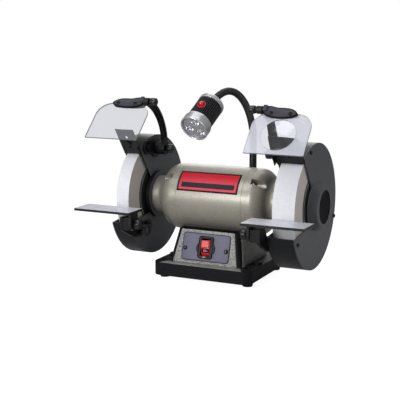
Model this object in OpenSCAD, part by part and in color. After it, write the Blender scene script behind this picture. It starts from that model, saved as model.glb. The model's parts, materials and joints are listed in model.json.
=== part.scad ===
// Double-ended bench grinder with two wheels of one diameter and two widths.
// +X runs along the arbor, -Y is the operator's side and +Z is up.
// The origin is on the bench, in the middle of the four bolt holes of the base.
// Right-hand pieces are drawn first, and left-hand ones are their mirror images.

/* [Wheels and arbor] */
// Diameter of both grinding wheels
wheel_d = 203.2; // [150:0.1:250]
// Width of the left wheel
left_wheel_w = 25.4; // [16:0.1:32]
// Width of the right wheel
right_wheel_w = 41.3; // [20:0.1:50]
// Height of the arbor above the bench
arbor_h = 143.5; // [135:0.5:180]
// Distance from the middle of the motor to the inner face of each wheel
wheel_face_x = 142.5; // [130:0.5:180]
// Diameter of the arbor thread and of the wheel bores
arbor_d = 15.87; // [12:0.01:20]
// Diameter of the clamping flanges
flange_d = 72; // [56:1:90]
// Diameter of the paper blotters
blotter_d = 122; // [90:1:130]
// Width across the flats of the arbor nuts
nut_flats = 24; // [20:0.5:27]

/* [Motor] */
// Outer diameter of the motor shell
motor_d = 125; // [110:1:130]
// Length of the motor shell
shell_len = 132; // [110:1:140]
// Wall of the motor shell
shell_t = 4; // [2:0.5:5]
// Diameter of the neck of each end bell
neck_d = 72; // [66:1:84]
// Outer diameter of the bearings
bearing_od = 47; // [40:1:52]
// Bore of the bearings
bearing_bore = 20; // [18:1:22]
// Width of the bearings
bearing_w = 14; // [10:1:16]

/* [Base] */
// Width of the base slab
base_w = 196; // [180:1:240]
// Distance from the middle of the bolt holes to the front of the slab
base_front = 95; // [88:1:120]
// Distance from the middle of the bolt holes to the back of the slab
base_back = 86; // [84:1:110]
// Thickness of the base slab
slab_h = 24; // [18:1:32]
// Height of the rubber feet
foot_h = 8; // [5:0.5:12]
// Diameter of the rubber feet
foot_d = 22; // [18:1:24]
// Distance between the bolt holes from left to right
bolt_span_x = 168; // [150:1:174]
// Distance between the bolt holes from front to back
bolt_span_y = 136; // [110:1:140]
// Diameter of the bench bolt holes
bolt_hole_d = 9; // [7:0.5:10]
// Wall of the base casting
base_wall = 5; // [4:0.5:8]

/* [Guards] */
// Outer diameter of the wheel guards
guard_d = 230; // [226:1:280]
// Thickness of the guard sheet
sheet_t = 2; // [1.5:0.5:3]
// Gap between the outer face of each wheel and its cover
side_gap = 2.6; // [2:0.1:6]
// How far the hub of each cover stands out
hub_depth = 18; // [17:0.5:26]
// Angle of the upper edge of the front opening above level
cut_angle = 54; // [45:1:60]

/* [Tool rests] */
// Width of each rest table
rest_w = 115; // [80:1:130]
// Depth of each rest table
rest_depth = 51; // [40:1:54]
// Thickness of each rest table
rest_t = 4.5; // [3:0.5:6]
// Gap between the right wheel and its rest
right_rest_gap = 3; // [2:0.5:12]
// Gap between the left wheel and its rest
left_rest_gap = 8; // [2:0.5:12]

/* [Eye shields] */
// Width of each eye shield
shield_w = 108; // [80:1:120]
// Length of each eye shield down its slope
shield_len = 83; // [60:1:100]
// Thickness of the eye shields
shield_t = 3; // [2:0.5:4]
// Angle of the shields from upright
shield_slope = 45; // [30:1:60]
// Forward tilt of the left shield arm at rest
left_arm_tilt = 0; // [-4:1:6]
// Forward tilt of the right shield arm at rest
right_arm_tilt = 5; // [-4:1:6]
// Diameter of the magnifier on the right shield
magnifier_d = 62; // [40:1:70]

/* [Work lamp] */
// Diameter of the gooseneck
neck_d_tube = 14.6; // [10:0.2:18]
// Diameter of the lamp grip
lamp_d = 50; // [40:1:60]
// Length of the lamp
lamp_len = 74; // [70:1:90]

/* [Hidden] */
$fn = 64;

// Clearances: a running fit, a loose seat, and the gap beside a moving face
run_fit = 0.05;
seat_gap = 0.2;
slide_gap = 0.3;
eps = 0.01;

// Stack of pieces along the arbor, measured out from the motor
blotter_t = 0.8;
inner_flange_t = 3;
outer_flange_t = 3.5;
flange_boss_r = 14;
nut_h = 9.5;
shaft_tip = 1;
flange_x = wheel_face_x - blotter_t - inner_flange_t;
plate_out_x = flange_x - 0.7;
plate_x = plate_out_x - sheet_t;
boss_x = plate_x - 2;
wheel_r = wheel_d / 2;
arbor_r = arbor_d / 2;
motor_r = motor_d / 2;
neck_r = neck_d / 2;
shell_half = shell_len / 2;
bearing_x = plate_x - 10 - bearing_w;
guard_r = guard_d / 2;
guard_y = -4;
band_in_r = guard_r - sheet_t;

// Motor sizes
stator_r = motor_r - shell_t - slide_gap;
bolt_circle_r = motor_r - 10.5;
through_bolt_r = 2.5;
stator_bore_r = 33.4;
rotor_r = stator_bore_r - 0.4;
stack_half = 32;
slot_r = 3.2;
slot_circle_r = 40;
slots = 12;
rotor_shaft_r = 13;
pocket_x = shell_half + 13;
pocket_r = 6;
shoulder_r = 27;
shoulder_turn = 68;
flare_r = 12;

// Base sizes
slab_top = foot_h + slab_h;
corner_r = 18;
plate_floor_t = 2;
ped_front_low = 75;
ped_front_high = 57;
ped_back_low = 60;
ped_back_high = 54;
ped_half_low = 74;
ped_half_high = 62;
ped_corner_r = 10;
ped_top = arbor_h - 51.5;
ped_lean = atan((ped_front_low - ped_front_high) / (ped_top - slab_top));

// Switch sizes, in the plane of the leaning front face
face_w = 93;
face_h = 49;
face_t = 1.5;
face_mid = 31.5;
face_screw_drop = 4;
housing_w = 38;
housing_h = 42;
rocker_w = 18;
rocker_h = 30;
rocker_depth = 4;
rocker_throw = 24;

// Guard fasteners, as angles up from the front and a distance from the arbor
post_r = 3.6;
post_circle_r = band_in_r - post_r - 1.4;
post_angles = [70, 199, 331];
plate_screw_circle = neck_r - 6;
cover_screw_r = 1.8;

// Spark arrestor sizes, out along the upper edge of the opening
arrestor_low = wheel_r + 3.4;
arrestor_high = 164;
arrestor_t = 1.6;
tab_high = 140;
arrestor_screw_u = 130;
slot_w = 5.6;

// Shield arm sizes
arm_x = plate_x - 26;
arm_w = 8;
arm_pivot = [-11, arbor_h + 90.5];
arm_arc_r = 92;
arm_half_w = 6;
arm_arc_mid = [arm_pivot[0] - arm_arc_r, arm_pivot[1] + 4];
arm_eye_angle = 76;
arm_eye = [
    arm_arc_mid[0] + arm_arc_r * cos(arm_eye_angle),
    arm_arc_mid[1] + arm_arc_r * sin(arm_eye_angle)
];
arm_boss_r = 12;
eye_r = 7;
stud_r = 4;
rod_r = 3;
guide_r = 2.5;
guide_arc_r = 34;
guide_angle = 173;
lobe_half = 12.5;
knob_r = 8.5;
knob_len = 15;

// Shield clamp sizes: along X from the arm, then down the slope
clamp_in_x = arm_x + arm_w + 1;
clamp_len = 64;
clamp_half_h = 9;
clamp_t = 4.5;
rod_up = 6;
rod_back = 5;
shield_in_x = arm_x - 6.5;
shield_top = -3;
shield_corner_r = 28;
lens_down = 44;
clamp_screw_x = [clamp_in_x + 16, clamp_in_x + 51];

// Tool rest sizes
rest_top = arbor_h - 9.5;
rest_axis_z = rest_top - 24;
rest_leg_x = plate_x - 24;
rest_leg_t = 4.7;
rest_bar_t = 5;
rest_stud_r = 3.98;
rest_bolt_r = 4;
rest_bolt_places = [[-51, -54], [-78, -57]];
slide_knob_r = 11.5;
slide_knob_len = 17;
rest_slot_half = 12;
right_rest_x = wheel_face_x + right_wheel_w / 2;
left_rest_x = wheel_face_x + left_wheel_w / 2 + 11;
right_rest_back = -wheel_r - right_rest_gap;
left_rest_back = -wheel_r - left_rest_gap;

// Gooseneck: a rising post, then a Bezier curve over to the back of the lamp
post_xy = [33.4, 74];
neck_start = [33.4, 74, arbor_h + 103];
neck_rise = 67;
neck_reach = 91;
lamp_back = [-20, 1.6, arbor_h + 178.5];
lamp_aim = [-0.122, -0.803, -0.583];
tube_r = neck_d_tube / 2;
ball_r = tube_r + 0.3;
joint_places = [0, 0.33, 0.53, 0.69, 0.83];
post_foot_h = 18;

function unit(v) = v / norm(v);
lamp_dir = unit(lamp_aim);
neck_p1 = neck_start + [0, 0, neck_rise];
neck_p2 = lamp_back - neck_reach * lamp_dir;
function neck_at(t) =
    pow(1 - t, 3) * neck_start + 3 * pow(1 - t, 2) * t * neck_p1
    + 3 * (1 - t) * t * t * neck_p2 + pow(t, 3) * lamp_back;
neck_joints = [for (t = joint_places) neck_at(t)];
neck_ends = concat(neck_joints, [lamp_back]);
lamp_boss_h = 6;

// Lamp sizes, along the lamp from its back
lamp_r = lamp_d / 2;
cap_len = 9;
bezel_len = 21;
bezel_r = lamp_r + 2.5;
button_s = 33;
button_r = 4.2;
button_side = [0.083, -0.574, 0.815];
button_dir = unit(button_side - (button_side * lamp_dir) * lamp_dir);
led_circle_r = 13;
led_angles = [39, 159, 279];
led_r = 5;

// A 2D shape in the YZ plane, extruded from x0 to x1
module along_x(x0, x1) {
    translate([x0, 0, 0])
        rotate([90, 0, 90])
            linear_extrude(x1 - x0)
                children();
}

// A round bar along X
module bar_x(r, x0, x1, at = [0, 0]) {
    translate([x0, at[0], at[1]])
        rotate([0, 90, 0])
            cylinder(r = r, h = x1 - x0);
}

// A round tube along X
module tube_x(r_out, r_in, x0, x1, at = [0, 0]) {
    difference() {
        bar_x(r_out, x0, x1, at);
        bar_x(r_in, x0 - 1, x1 + 1, at);
    }
}

// Turns the Z axis to a direction
module aim(d) {
    rotate([0, acos(d[2] / norm(d)), atan2(d[1], d[0])])
        children();
}

// A point at an angle up from the front, around the arbor
function around(r, a) = [-r * cos(a), arbor_h + r * sin(a)];

// The right-hand piece, or its mirror image on the left
module on_left() {
    mirror([1, 0, 0])
        children();
}

// A rectangle with round corners, from one corner to the other
module round_rect(x0, y0, x1, y1, r) {
    union() {
        translate([x0 + r, y0])
            square([x1 - x0 - 2 * r, y1 - y0]);
        translate([x0, y0 + r])
            square([x1 - x0, y1 - y0 - 2 * r]);
        for (x = [x0 + r, x1 - r], y = [y0 + r, y1 - r])
            translate([x, y])
                circle(r);
    }
}

// A pan-head screw along +X, its head outermost
module pan_screw_x(r, len, head_r, head_h, x_head, at) {
    bar_x(r, x_head - len, x_head + eps, at);
    bar_x(head_r, x_head, x_head + head_h, at);
}

// A fluted hand knob along X
module knob_x(r, x0, x1, at, bore_r, bore_from) {
    flute_r = r * 0.3;
    difference() {
        bar_x(r, x0, x1, at);
        for (a = [0:60:300])
            bar_x(flute_r, x0 - 1, x1 - 3, [at[0] + (r + 1) * cos(a), at[1] + (r + 1) * sin(a)]);
        bar_x(bore_r, bore_from, x1 + 1, at);
    }
}

// ---- Base ----

module pedestal_shape(inset, top) {
    hull() {
        translate([0, 0, slab_top - 4])
            linear_extrude(eps)
                round_rect(-ped_half_low + inset, -ped_front_low + inset,
                    ped_half_low - inset, ped_back_low - inset, ped_corner_r, $fn = 32);
        translate([0, 0, top])
            linear_extrude(eps)
                round_rect(-ped_half_high + inset, -ped_front_high + inset,
                    ped_half_high - inset, ped_back_high - inset, ped_corner_r, $fn = 32);
    }
}

// Turns a piece so that its Z axis leaves the leaning front face of the pedestal
module on_front_face() {
    translate([0, -ped_front_low, slab_top])
        rotate([90 - ped_lean, 0, 0])
            children();
}

module base_casting() {
    color("#1d1d20")
    difference() {
        union() {
            translate([0, 0, foot_h])
                linear_extrude(slab_h)
                    round_rect(-base_w / 2, -base_front, base_w / 2, base_back, corner_r);
            pedestal_shape(0, ped_top);
            for (s = [-1, 1])
                translate([s * (base_w / 2 - 12), -25, slab_top - eps])
                    cylinder(r = 9, h = 4);
        }
        translate([0, 0, foot_h + plate_floor_t - eps])
            linear_extrude(slab_h - plate_floor_t - base_wall)
                round_rect(-ped_half_low + 4, -base_front + base_wall,
                    ped_half_low - 4, base_back - base_wall - 22, 6);
        translate([0, 0, foot_h - 1])
            linear_extrude(plate_floor_t + 1)
                round_rect(-ped_half_low, -base_front + base_wall - 3,
                    ped_half_low, base_back - base_wall - 19, 6);
        difference() {
            pedestal_shape(base_wall, ped_top);
            bar_x(motor_r + base_wall, -shell_half, shell_half, [0, arbor_h]);
        }
        translate([0, 0, slab_top - 10])
            linear_extrude(10)
                round_rect(-ped_half_low + 12, -ped_front_low + 10,
                    ped_half_low - 12, ped_back_low - 12, 6);
        bar_x(motor_r + slide_gap, -ped_half_low - 20, ped_half_low + 20, [0, arbor_h]);
        for (x = [-1, 1], y = [-1, 1])
            translate([x * bolt_span_x / 2, y * bolt_span_y / 2, 0])
                cylinder(d = bolt_hole_d, h = slab_top + 10);
        on_front_face()
            translate([-housing_w / 2 + 2, face_mid - housing_h / 2 + 2, -base_wall - 6])
                cube([housing_w - 4, housing_h - 4, base_wall + 16]);
        for (s = [-1, 1])
            on_front_face()
                translate([s * (face_w / 2 - 5), face_mid - face_screw_drop, -8])
                    cylinder(r = 1.6, h = 20);
        translate([-40, ped_back_low - 20, 52])
            rotate([-90, 0, 0])
                cylinder(r = 6.1, h = 40);
        for (x = [-1, 1], y = [-1, 1])
            translate([x * 68, y * 55 - 5, foot_h])
                cylinder(r = 1.6, h = 12);
        translate([post_xy[0], post_xy[1], slab_top - 8])
            cylinder(r = tube_r + run_fit, h = 20);
    }
}

module bottom_plate() {
    color("#6a6a6a")
    difference() {
        translate([0, 0, foot_h])
            linear_extrude(plate_floor_t - seat_gap)
                round_rect(-ped_half_low + seat_gap, -base_front + base_wall - 3 + seat_gap,
                    ped_half_low - seat_gap, base_back - base_wall - 19 - seat_gap, 6);
        for (x = [-1, 1], y = [-1, 1])
            translate([x * 68, y * 55 - 5, foot_h - 1])
                cylinder(r = 1.7, h = 12);
    }
}

module rubber_feet() {
    color("#151515")
    for (x = [-1, 1], y = [-1, 1])
        translate([x * bolt_span_x / 2, y * bolt_span_y / 2, 0])
            difference() {
                rotate_extrude()
                    polygon([[0, 0], [foot_d / 2 - 2, 0], [foot_d / 2, foot_h], [0, foot_h]]);
                translate([0, 0, -1])
                    cylinder(d = bolt_hole_d, h = foot_h + 2);
            }
}

module base_screws() {
    for (x = [-1, 1], y = [-1, 1])
        translate([x * 68, y * 55 - 5, foot_h - 2]) {
            cylinder(r = 3.2, h = 2);
            cylinder(r = 1.5, h = 11);
        }
    for (s = [-1, 1])
        on_front_face()
            translate([s * (face_w / 2 - 5), face_mid - face_screw_drop, 0]) {
                translate([0, 0, face_t])
                    cylinder(r = 3, h = 2);
                translate([0, 0, -5])
                    cylinder(r = 1.5, h = 5 + face_t + eps);
            }
}

module switch_plate() {
    color("#7a7a8c")
    on_front_face()
        difference() {
            linear_extrude(face_t)
                round_rect(-face_w / 2, face_mid - face_h / 2, face_w / 2, face_mid + face_h / 2, 4);
            translate([-housing_w / 2 + 2 - seat_gap, face_mid - housing_h / 2 + 2 - seat_gap, -1])
                cube([housing_w - 4 + 2 * seat_gap, housing_h - 4 + 2 * seat_gap, face_t + 2]);
            for (s = [-1, 1])
                translate([s * (face_w / 2 - 5), face_mid - face_screw_drop, -1])
                    cylinder(r = 1.6, h = face_t + 2);
        }
}

module switch_housing() {
    color("#141416")
    on_front_face()
        difference() {
            union() {
                translate([0, 0, face_t])
                    linear_extrude(2.5)
                        round_rect(-housing_w / 2, face_mid - housing_h / 2,
                            housing_w / 2, face_mid + housing_h / 2, 5);
                translate([-housing_w / 2 + 2 + seat_gap, face_mid - housing_h / 2 + 2 + seat_gap, -18])
                    cube([housing_w - 4 - 2 * seat_gap, housing_h - 4 - 2 * seat_gap, 18 + face_t + eps]);
            }
            translate([-rocker_w / 2 - slide_gap, face_mid - rocker_h / 2 - 1, -15])
                cube([rocker_w + 2 * slide_gap, rocker_h + 2, 30]);
            translate([-rocker_w / 2 - 3, face_mid, -rocker_depth])
                rotate([0, 90, 0])
                    cylinder(r = 2 + run_fit, h = rocker_w + 6);
        }
}

module switch_rocker() {
    half = rocker_h / 2;
    color("#c8182a")
    on_front_face()
        translate([-rocker_w / 2, face_mid, -rocker_depth])
            rotate([rocker_throw / 2, 0, 0])
                union() {
                    rotate([90, 0, 90])
                        linear_extrude(rocker_w)
                            intersection() {
                                circle(half + 0.6);
                                polygon([[-half, -1], [-half, 5], [-1.5, 9.5], [1.5, 9.5],
                                    [half, 5], [half, -1], [half / 3, -8], [-half / 3, -8]]);
                            }
                    translate([-2.5, 0, 0])
                        rotate([0, 90, 0])
                            cylinder(r = 2, h = rocker_w + 5);
                }
}

module run_capacitor() {
    color("#3a3a3a")
    translate([43, 24, foot_h + plate_floor_t])
        union() {
            cylinder(r = 15, h = 42);
            translate([0, 0, 42])
                cylinder(r = 11, h = 4);
        }
}

module cord_gland() {
    color("#121212")
    translate([-40, ped_back_low - 10, 52])
        rotate([-90, 0, 0])
            difference() {
                union() {
                    cylinder(r = 6, h = 14);
                    translate([0, 0, 10])
                        cylinder(r = 10, h = 6, $fn = 6);
                    translate([0, 0, 16 - eps])
                        cylinder(r = 7, h = 8);
                }
                translate([0, 0, -1])
                    cylinder(r = 3.6, h = 40);
            }
}

// ---- Motor ----

module motor_shell() {
    color("#a9a596")
    tube_x(motor_r, motor_r - shell_t, -shell_half, shell_half, [0, arbor_h]);
}

// Outline of an end bell: distance out from the motor, then radius
function bell_skin() = concat(
    [[motor_r, shell_half + seat_gap]],
    [for (a = [0:shoulder_turn / 8:shoulder_turn])
        [motor_r - shoulder_r * (1 - cos(a)), shell_half + 13 + shoulder_r * sin(a)]],
    [for (a = [shoulder_turn:-shoulder_turn / 5:1])
        [neck_r + flare_r * (1 - cos(a)), shell_half + 50 - flare_r * sin(a)]],
    [[neck_r, shell_half + 50]]
);

function bell_outline() = concat(bell_skin(), [
    [neck_r, plate_x],
    [flange_boss_r + 1, plate_x],
    [flange_boss_r + 1, boss_x - 1],
    [arbor_r + 4, boss_x - 1],
    [arbor_r + 4, bearing_x + bearing_w + seat_gap],
    [bearing_od / 2 + run_fit, bearing_x + bearing_w + seat_gap],
    [bearing_od / 2 + run_fit, bearing_x - 4],
    [bearing_od / 2 + 8, bearing_x - 4],
    [bearing_od / 2 + 8, min(bearing_x - 5, shell_half + 41)],
    [motor_r - 15, shell_half + 25],
    [motor_r - 7, shell_half + 16],
    [motor_r - 7, shell_half - 6],
    [motor_r - shell_t - seat_gap, shell_half - 6],
    [motor_r - shell_t - seat_gap, shell_half + seat_gap]
]);

module bell_solid(points) {
    translate([0, 0, arbor_h])
        rotate([0, 90, 0])
            rotate_extrude()
                polygon(points);
}

module end_bell() {
    difference() {
        union() {
            bell_solid(bell_outline());
            intersection() {
                for (a = [45:90:315])
                    bar_x(9, shell_half + seat_gap, shell_half + 36, around(bolt_circle_r, a));
                bell_solid(concat([[0, shell_half]], bell_skin(), [[0, shell_half + 50]]));
            }
        }
        for (a = [45:90:315]) {
            bar_x(pocket_r, pocket_x, plate_x, around(bolt_circle_r, a));
            translate([pocket_x, 0, arbor_h])
                rotate([a, 0, 0])
                    translate([0, bolt_circle_r, -pocket_r])
                        cube([plate_x - pocket_x, motor_r, 2 * pocket_r]);
            bar_x(through_bolt_r + seat_gap, shell_half - 1, pocket_x + 1, around(bolt_circle_r, a));
        }
        for (a = [45:90:315])
            bar_x(2.5 + seat_gap, plate_x - 8, plate_x + 1, around(plate_screw_circle, a));
    }
}

module end_bell_right() {
    color("#a9a596")
    end_bell();
}

module end_bell_left() {
    color("#a9a596")
    on_left()
        end_bell();
}

module through_bolts() {
    color("#2c2c2c")
    for (a = [45:90:315]) {
        bar_x(through_bolt_r, -pocket_x - eps, pocket_x + eps, around(bolt_circle_r, a));
        bar_x(4.2, pocket_x, pocket_x + 4, around(bolt_circle_r, a));
        bar_x(4.2, -pocket_x - 4, -pocket_x, around(bolt_circle_r, a));
    }
}

module stator_core() {
    color("#5b5f66")
    difference() {
        tube_x(stator_r, stator_bore_r, -stack_half, stack_half, [0, arbor_h]);
        for (i = [0:slots - 1])
            bar_x(slot_r, -stack_half - 1, stack_half + 1, around(slot_circle_r, i * 360 / slots));
        for (a = [45:90:315])
            bar_x(through_bolt_r + slide_gap, -stack_half - 1, stack_half + 1, around(bolt_circle_r, a));
    }
}

module stator_windings() {
    color("#b4602a")
    union() {
        for (i = [0:slots - 1])
            bar_x(slot_r - seat_gap, -stack_half - 3, stack_half + 3,
                around(slot_circle_r, i * 360 / slots));
        for (s = [-1, 1])
            translate([s * (stack_half + 7.5), 0, 0])
                tube_x(46.5, 35, -6, 6, [0, arbor_h]);
    }
}

module rotor_core() {
    color("#70747a")
    tube_x(rotor_r, rotor_shaft_r, -stack_half, stack_half, [0, arbor_h]);
}

module arbor_shaft() {
    color("#b9bcc0")
    union() {
        bar_x(rotor_shaft_r, -shell_half - 34, shell_half + 34, [0, arbor_h]);
        bar_x(bearing_bore / 2 + 2, -bearing_x + slide_gap, bearing_x - slide_gap, [0, arbor_h]);
        bar_x(bearing_bore / 2 - run_fit, -bearing_x - bearing_w - 1,
            bearing_x + bearing_w + 1, [0, arbor_h]);
        bar_x(arbor_r + 1.5, -boss_x, boss_x, [0, arbor_h]);
        bar_x(arbor_r, 0, nut_x(right_wheel_w) + nut_h + shaft_tip, [0, arbor_h]);
        bar_x(arbor_r, -nut_x(left_wheel_w) - nut_h - shaft_tip, 0, [0, arbor_h]);
    }
}

module bearing() {
    race_mid = (bearing_od + bearing_bore) / 4;
    ball_r = (bearing_od - bearing_bore) / 8;
    union() {
        tube_x(bearing_od / 2, race_mid + ball_r + run_fit, bearing_x, bearing_x + bearing_w,
            [0, arbor_h]);
        tube_x(race_mid - ball_r - run_fit, bearing_bore / 2, bearing_x, bearing_x + bearing_w,
            [0, arbor_h]);
        for (a = [0:45:315])
            translate([bearing_x + bearing_w / 2, around(race_mid, a)[0], around(race_mid, a)[1]])
                sphere(r = ball_r, $fn = 32);
    }
}

module arbor_bearings() {
    color("#c4c7cb") {
        bearing();
        on_left()
            bearing();
    }
}

// ---- Wheels ----

function nut_x(w) = wheel_face_x + w + blotter_t + outer_flange_t;

module flange_pair(w) {
    tube_x(flange_boss_r, arbor_r, boss_x, flange_x + eps, [0, arbor_h]);
    tube_x(flange_d / 2, arbor_r, flange_x, flange_x + inner_flange_t, [0, arbor_h]);
    tube_x(flange_d / 2, arbor_r, nut_x(w) - outer_flange_t, nut_x(w), [0, arbor_h]);
}

module wheel_flanges() {
    color("#8d9095") {
        flange_pair(right_wheel_w);
        on_left()
            flange_pair(left_wheel_w);
    }
}

module blotter_pair(w) {
    for (x = [wheel_face_x - blotter_t, wheel_face_x + w])
        tube_x(blotter_d / 2, arbor_r + 0.5, x, x + blotter_t, [0, arbor_h]);
}

module wheel_blotters() {
    color("#151515") {
        blotter_pair(right_wheel_w);
        on_left()
            blotter_pair(left_wheel_w);
    }
}

module wheel_right() {
    color("#e8e9ec")
    tube_x(wheel_r, arbor_r + run_fit, wheel_face_x, wheel_face_x + right_wheel_w, [0, arbor_h]);
}

module wheel_left() {
    color("#e8e9ec")
    on_left()
        tube_x(wheel_r, arbor_r + run_fit, wheel_face_x, wheel_face_x + left_wheel_w, [0, arbor_h]);
}

module arbor_nut(w) {
    translate([nut_x(w), 0, arbor_h])
        rotate([0, 90, 0])
            difference() {
                cylinder(r = nut_flats / 2 / cos(30), h = nut_h, $fn = 6);
                translate([0, 0, -1])
                    cylinder(r = arbor_r, h = nut_h + 2);
            }
}

module arbor_nuts() {
    color("#a6a9ad") {
        arbor_nut(right_wheel_w);
        on_left()
            arbor_nut(left_wheel_w);
    }
}

// ---- Guards ----

function cover_x(w) = wheel_face_x + w + side_gap;

// The front opening, seen along X
module opening(keep_r) {
    difference() {
        translate([0, arbor_h])
            polygon([
                [0, -0.2 * wheel_r],
                [0, 0],
                [-2 * guard_r * cos(cut_angle), 2 * guard_r * sin(cut_angle)],
                [-3 * guard_r, 0],
                [-3 * guard_r, -0.65 * wheel_r],
                [0, -0.28 * wheel_r]
            ]);
        translate([0, arbor_h])
            circle(keep_r);
    }
}

module guard_disc(r) {
    translate([guard_y, arbor_h])
        circle(r);
}

// Lies flat against the upper edge of the opening: Y runs out from the arbor
module on_cut() {
    translate([0, 0, arbor_h])
        rotate([180 - cut_angle, 0, 0])
            children();
}

module guard_shell(w) {
    x_out = cover_x(w);
    difference() {
        union() {
            along_x(plate_x, plate_out_x)
                difference() {
                    guard_disc(guard_r);
                    opening(neck_r + 9);
                }
            along_x(plate_x, x_out)
                difference() {
                    guard_disc(guard_r);
                    guard_disc(band_in_r);
                    opening(neck_r + 9);
                }
            tube_x(neck_r + 9, neck_r + seat_gap, plate_x - 7, plate_x + eps, [0, arbor_h]);
            for (a = post_angles)
                bar_x(post_r, plate_x, x_out, around(post_circle_r, a));
            on_cut()
                translate([plate_x + 5, band_in_r - 2, -2])
                    cube([x_out - plate_x - 8, tab_high - band_in_r + 2, 2]);
        }
        bar_x(flange_boss_r + 1, plate_x - 1, plate_out_x + 1, [0, arbor_h]);
        for (a = [45:90:315])
            translate([plate_x - eps, around(plate_screw_circle, a)[0],
                    around(plate_screw_circle, a)[1]])
                rotate([0, 90, 0])
                    cylinder(r1 = 2.7, r2 = 4.7, h = sheet_t + 2 * eps);
        for (a = post_angles)
            bar_x(cover_screw_r + run_fit, x_out - 9, x_out + 1, around(post_circle_r, a));
        bar_x(stud_r + run_fit, plate_x - 1, plate_out_x + 1, arm_pivot);
        bar_x(guide_r + run_fit, plate_x - 1, plate_out_x + 1, guide_at());
        for (p = rest_bolt_places)
            bar_x(rest_bolt_r + run_fit, plate_x - 1, plate_out_x + 1, [p[0], arbor_h + p[1]]);
        on_cut()
            translate([(plate_x + x_out) / 2, arrestor_screw_u, -5])
                cylinder(r = 2.5 + run_fit, h = 10);
    }
}

module guard_right() {
    color("#3b3c40")
    guard_shell(right_wheel_w);
}

module guard_left() {
    color("#3b3c40")
    on_left()
        guard_shell(left_wheel_w);
}

module hub_shape(x0, depth, r0, ry, rz) {
    hull() {
        translate([x0, 0, arbor_h])
            rotate([0, 90, 0])
                cylinder(r = r0, h = eps, $fn = 40);
        translate([x0 + depth, 0, arbor_h])
            rotate([0, 90, 0])
                scale([rz, ry, 1])
                    cylinder(r = 1, h = eps, $fn = 40);
    }
}

module guard_cover(w) {
    x0 = cover_x(w);
    difference() {
        union() {
            along_x(x0, x0 + sheet_t)
                difference() {
                    guard_disc(guard_r);
                    opening(46);
                }
            hub_shape(x0, hub_depth, 46, 43, 36);
        }
        hub_shape(x0 - 1, hub_depth - 3.5, 44, 41, 34);
        translate([x0 + hub_depth - 1.5, 0, arbor_h])
            rotate([0, 90, 0])
                cylinder(r = 31, h = 5);
        for (a = post_angles)
            bar_x(cover_screw_r + seat_gap, x0 - 1, x0 + sheet_t + 1, around(post_circle_r, a));
    }
}

module guard_cover_right() {
    color("#55565a")
    guard_cover(right_wheel_w);
}

module guard_cover_left() {
    color("#44464b")
    on_left()
        guard_cover(left_wheel_w);
}

module side_screws(w) {
    for (a = post_angles)
        pan_screw_x(cover_screw_r, 8, 3.4, 2.2, cover_x(w) + sheet_t, around(post_circle_r, a));
    for (a = [45:90:315])
        translate([0, around(plate_screw_circle, a)[0], around(plate_screw_circle, a)[1]]) {
            bar_x(2.5, plate_x - 7.5, plate_x + eps);
            translate([plate_x, 0, 0])
                rotate([0, 90, 0])
                    cylinder(r1 = 2.5, r2 = 4.5, h = sheet_t);
        }
    on_cut()
        translate([(plate_x + cover_x(w)) / 2, arrestor_screw_u, 0]) {
            translate([0, 0, -4])
                cylinder(r = 2.5, h = 4 + arrestor_t + 2 * slide_gap + eps);
            translate([0, 0, arrestor_t + 2 * slide_gap])
                cylinder(r = 4.5, h = 3);
        }
}

module machine_screws() {
    color("#1a1a1a") {
        base_screws();
        side_screws(right_wheel_w);
        on_left()
            side_screws(left_wheel_w);
    }
}

// The bent plate that closes the gap above the wheel
module spark_arrestor(w, inner_over, outer_over) {
    x0 = plate_x - inner_over;
    x1 = cover_x(w) + outer_over;
    mid = (plate_x + cover_x(w)) / 2;
    on_cut()
        translate([0, 0, slide_gap])
            difference() {
                union() {
                    translate([x0, arrestor_low, 0])
                        cube([x1 - x0, arrestor_high - arrestor_low, arrestor_t]);
                    translate([x0, arrestor_low, 0])
                        cube([arrestor_t, 20, 9]);
                }
                for (u = [-8:2:16])
                    translate([mid, arrestor_screw_u + u, -1])
                        cylinder(r = slot_w / 2, h = 5);
                translate([mid - slot_w / 2, arrestor_screw_u - 8, -1])
                    cube([slot_w, 24, 5]);
            }
}

module spark_arrestor_right() {
    color("#222326")
    spark_arrestor(right_wheel_w, 3, 1);
}

module spark_arrestor_left() {
    color("#222326")
    on_left()
        spark_arrestor(left_wheel_w, 2, 1);
}

// ---- Eye shields ----

function guide_at() = [
    arm_pivot[0] + guide_arc_r * cos(guide_angle),
    arm_pivot[1] + guide_arc_r * sin(guide_angle)
];

// Turns a shield arm and what it carries forward about its pivot
module arm_turn(tilt) {
    translate([0, arm_pivot[0], arm_pivot[1]])
        rotate([tilt, 0, 0])
            translate([0, -arm_pivot[0], -arm_pivot[1]])
                children();
}

// Turns into the plane of a shield: Y runs down the slope and Z points out of its back
module on_slope() {
    translate([0, arm_eye[0], arm_eye[1]])
        rotate([270 - shield_slope, 0, 0])
            translate([0, rod_up, rod_back])
                children();
}

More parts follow.
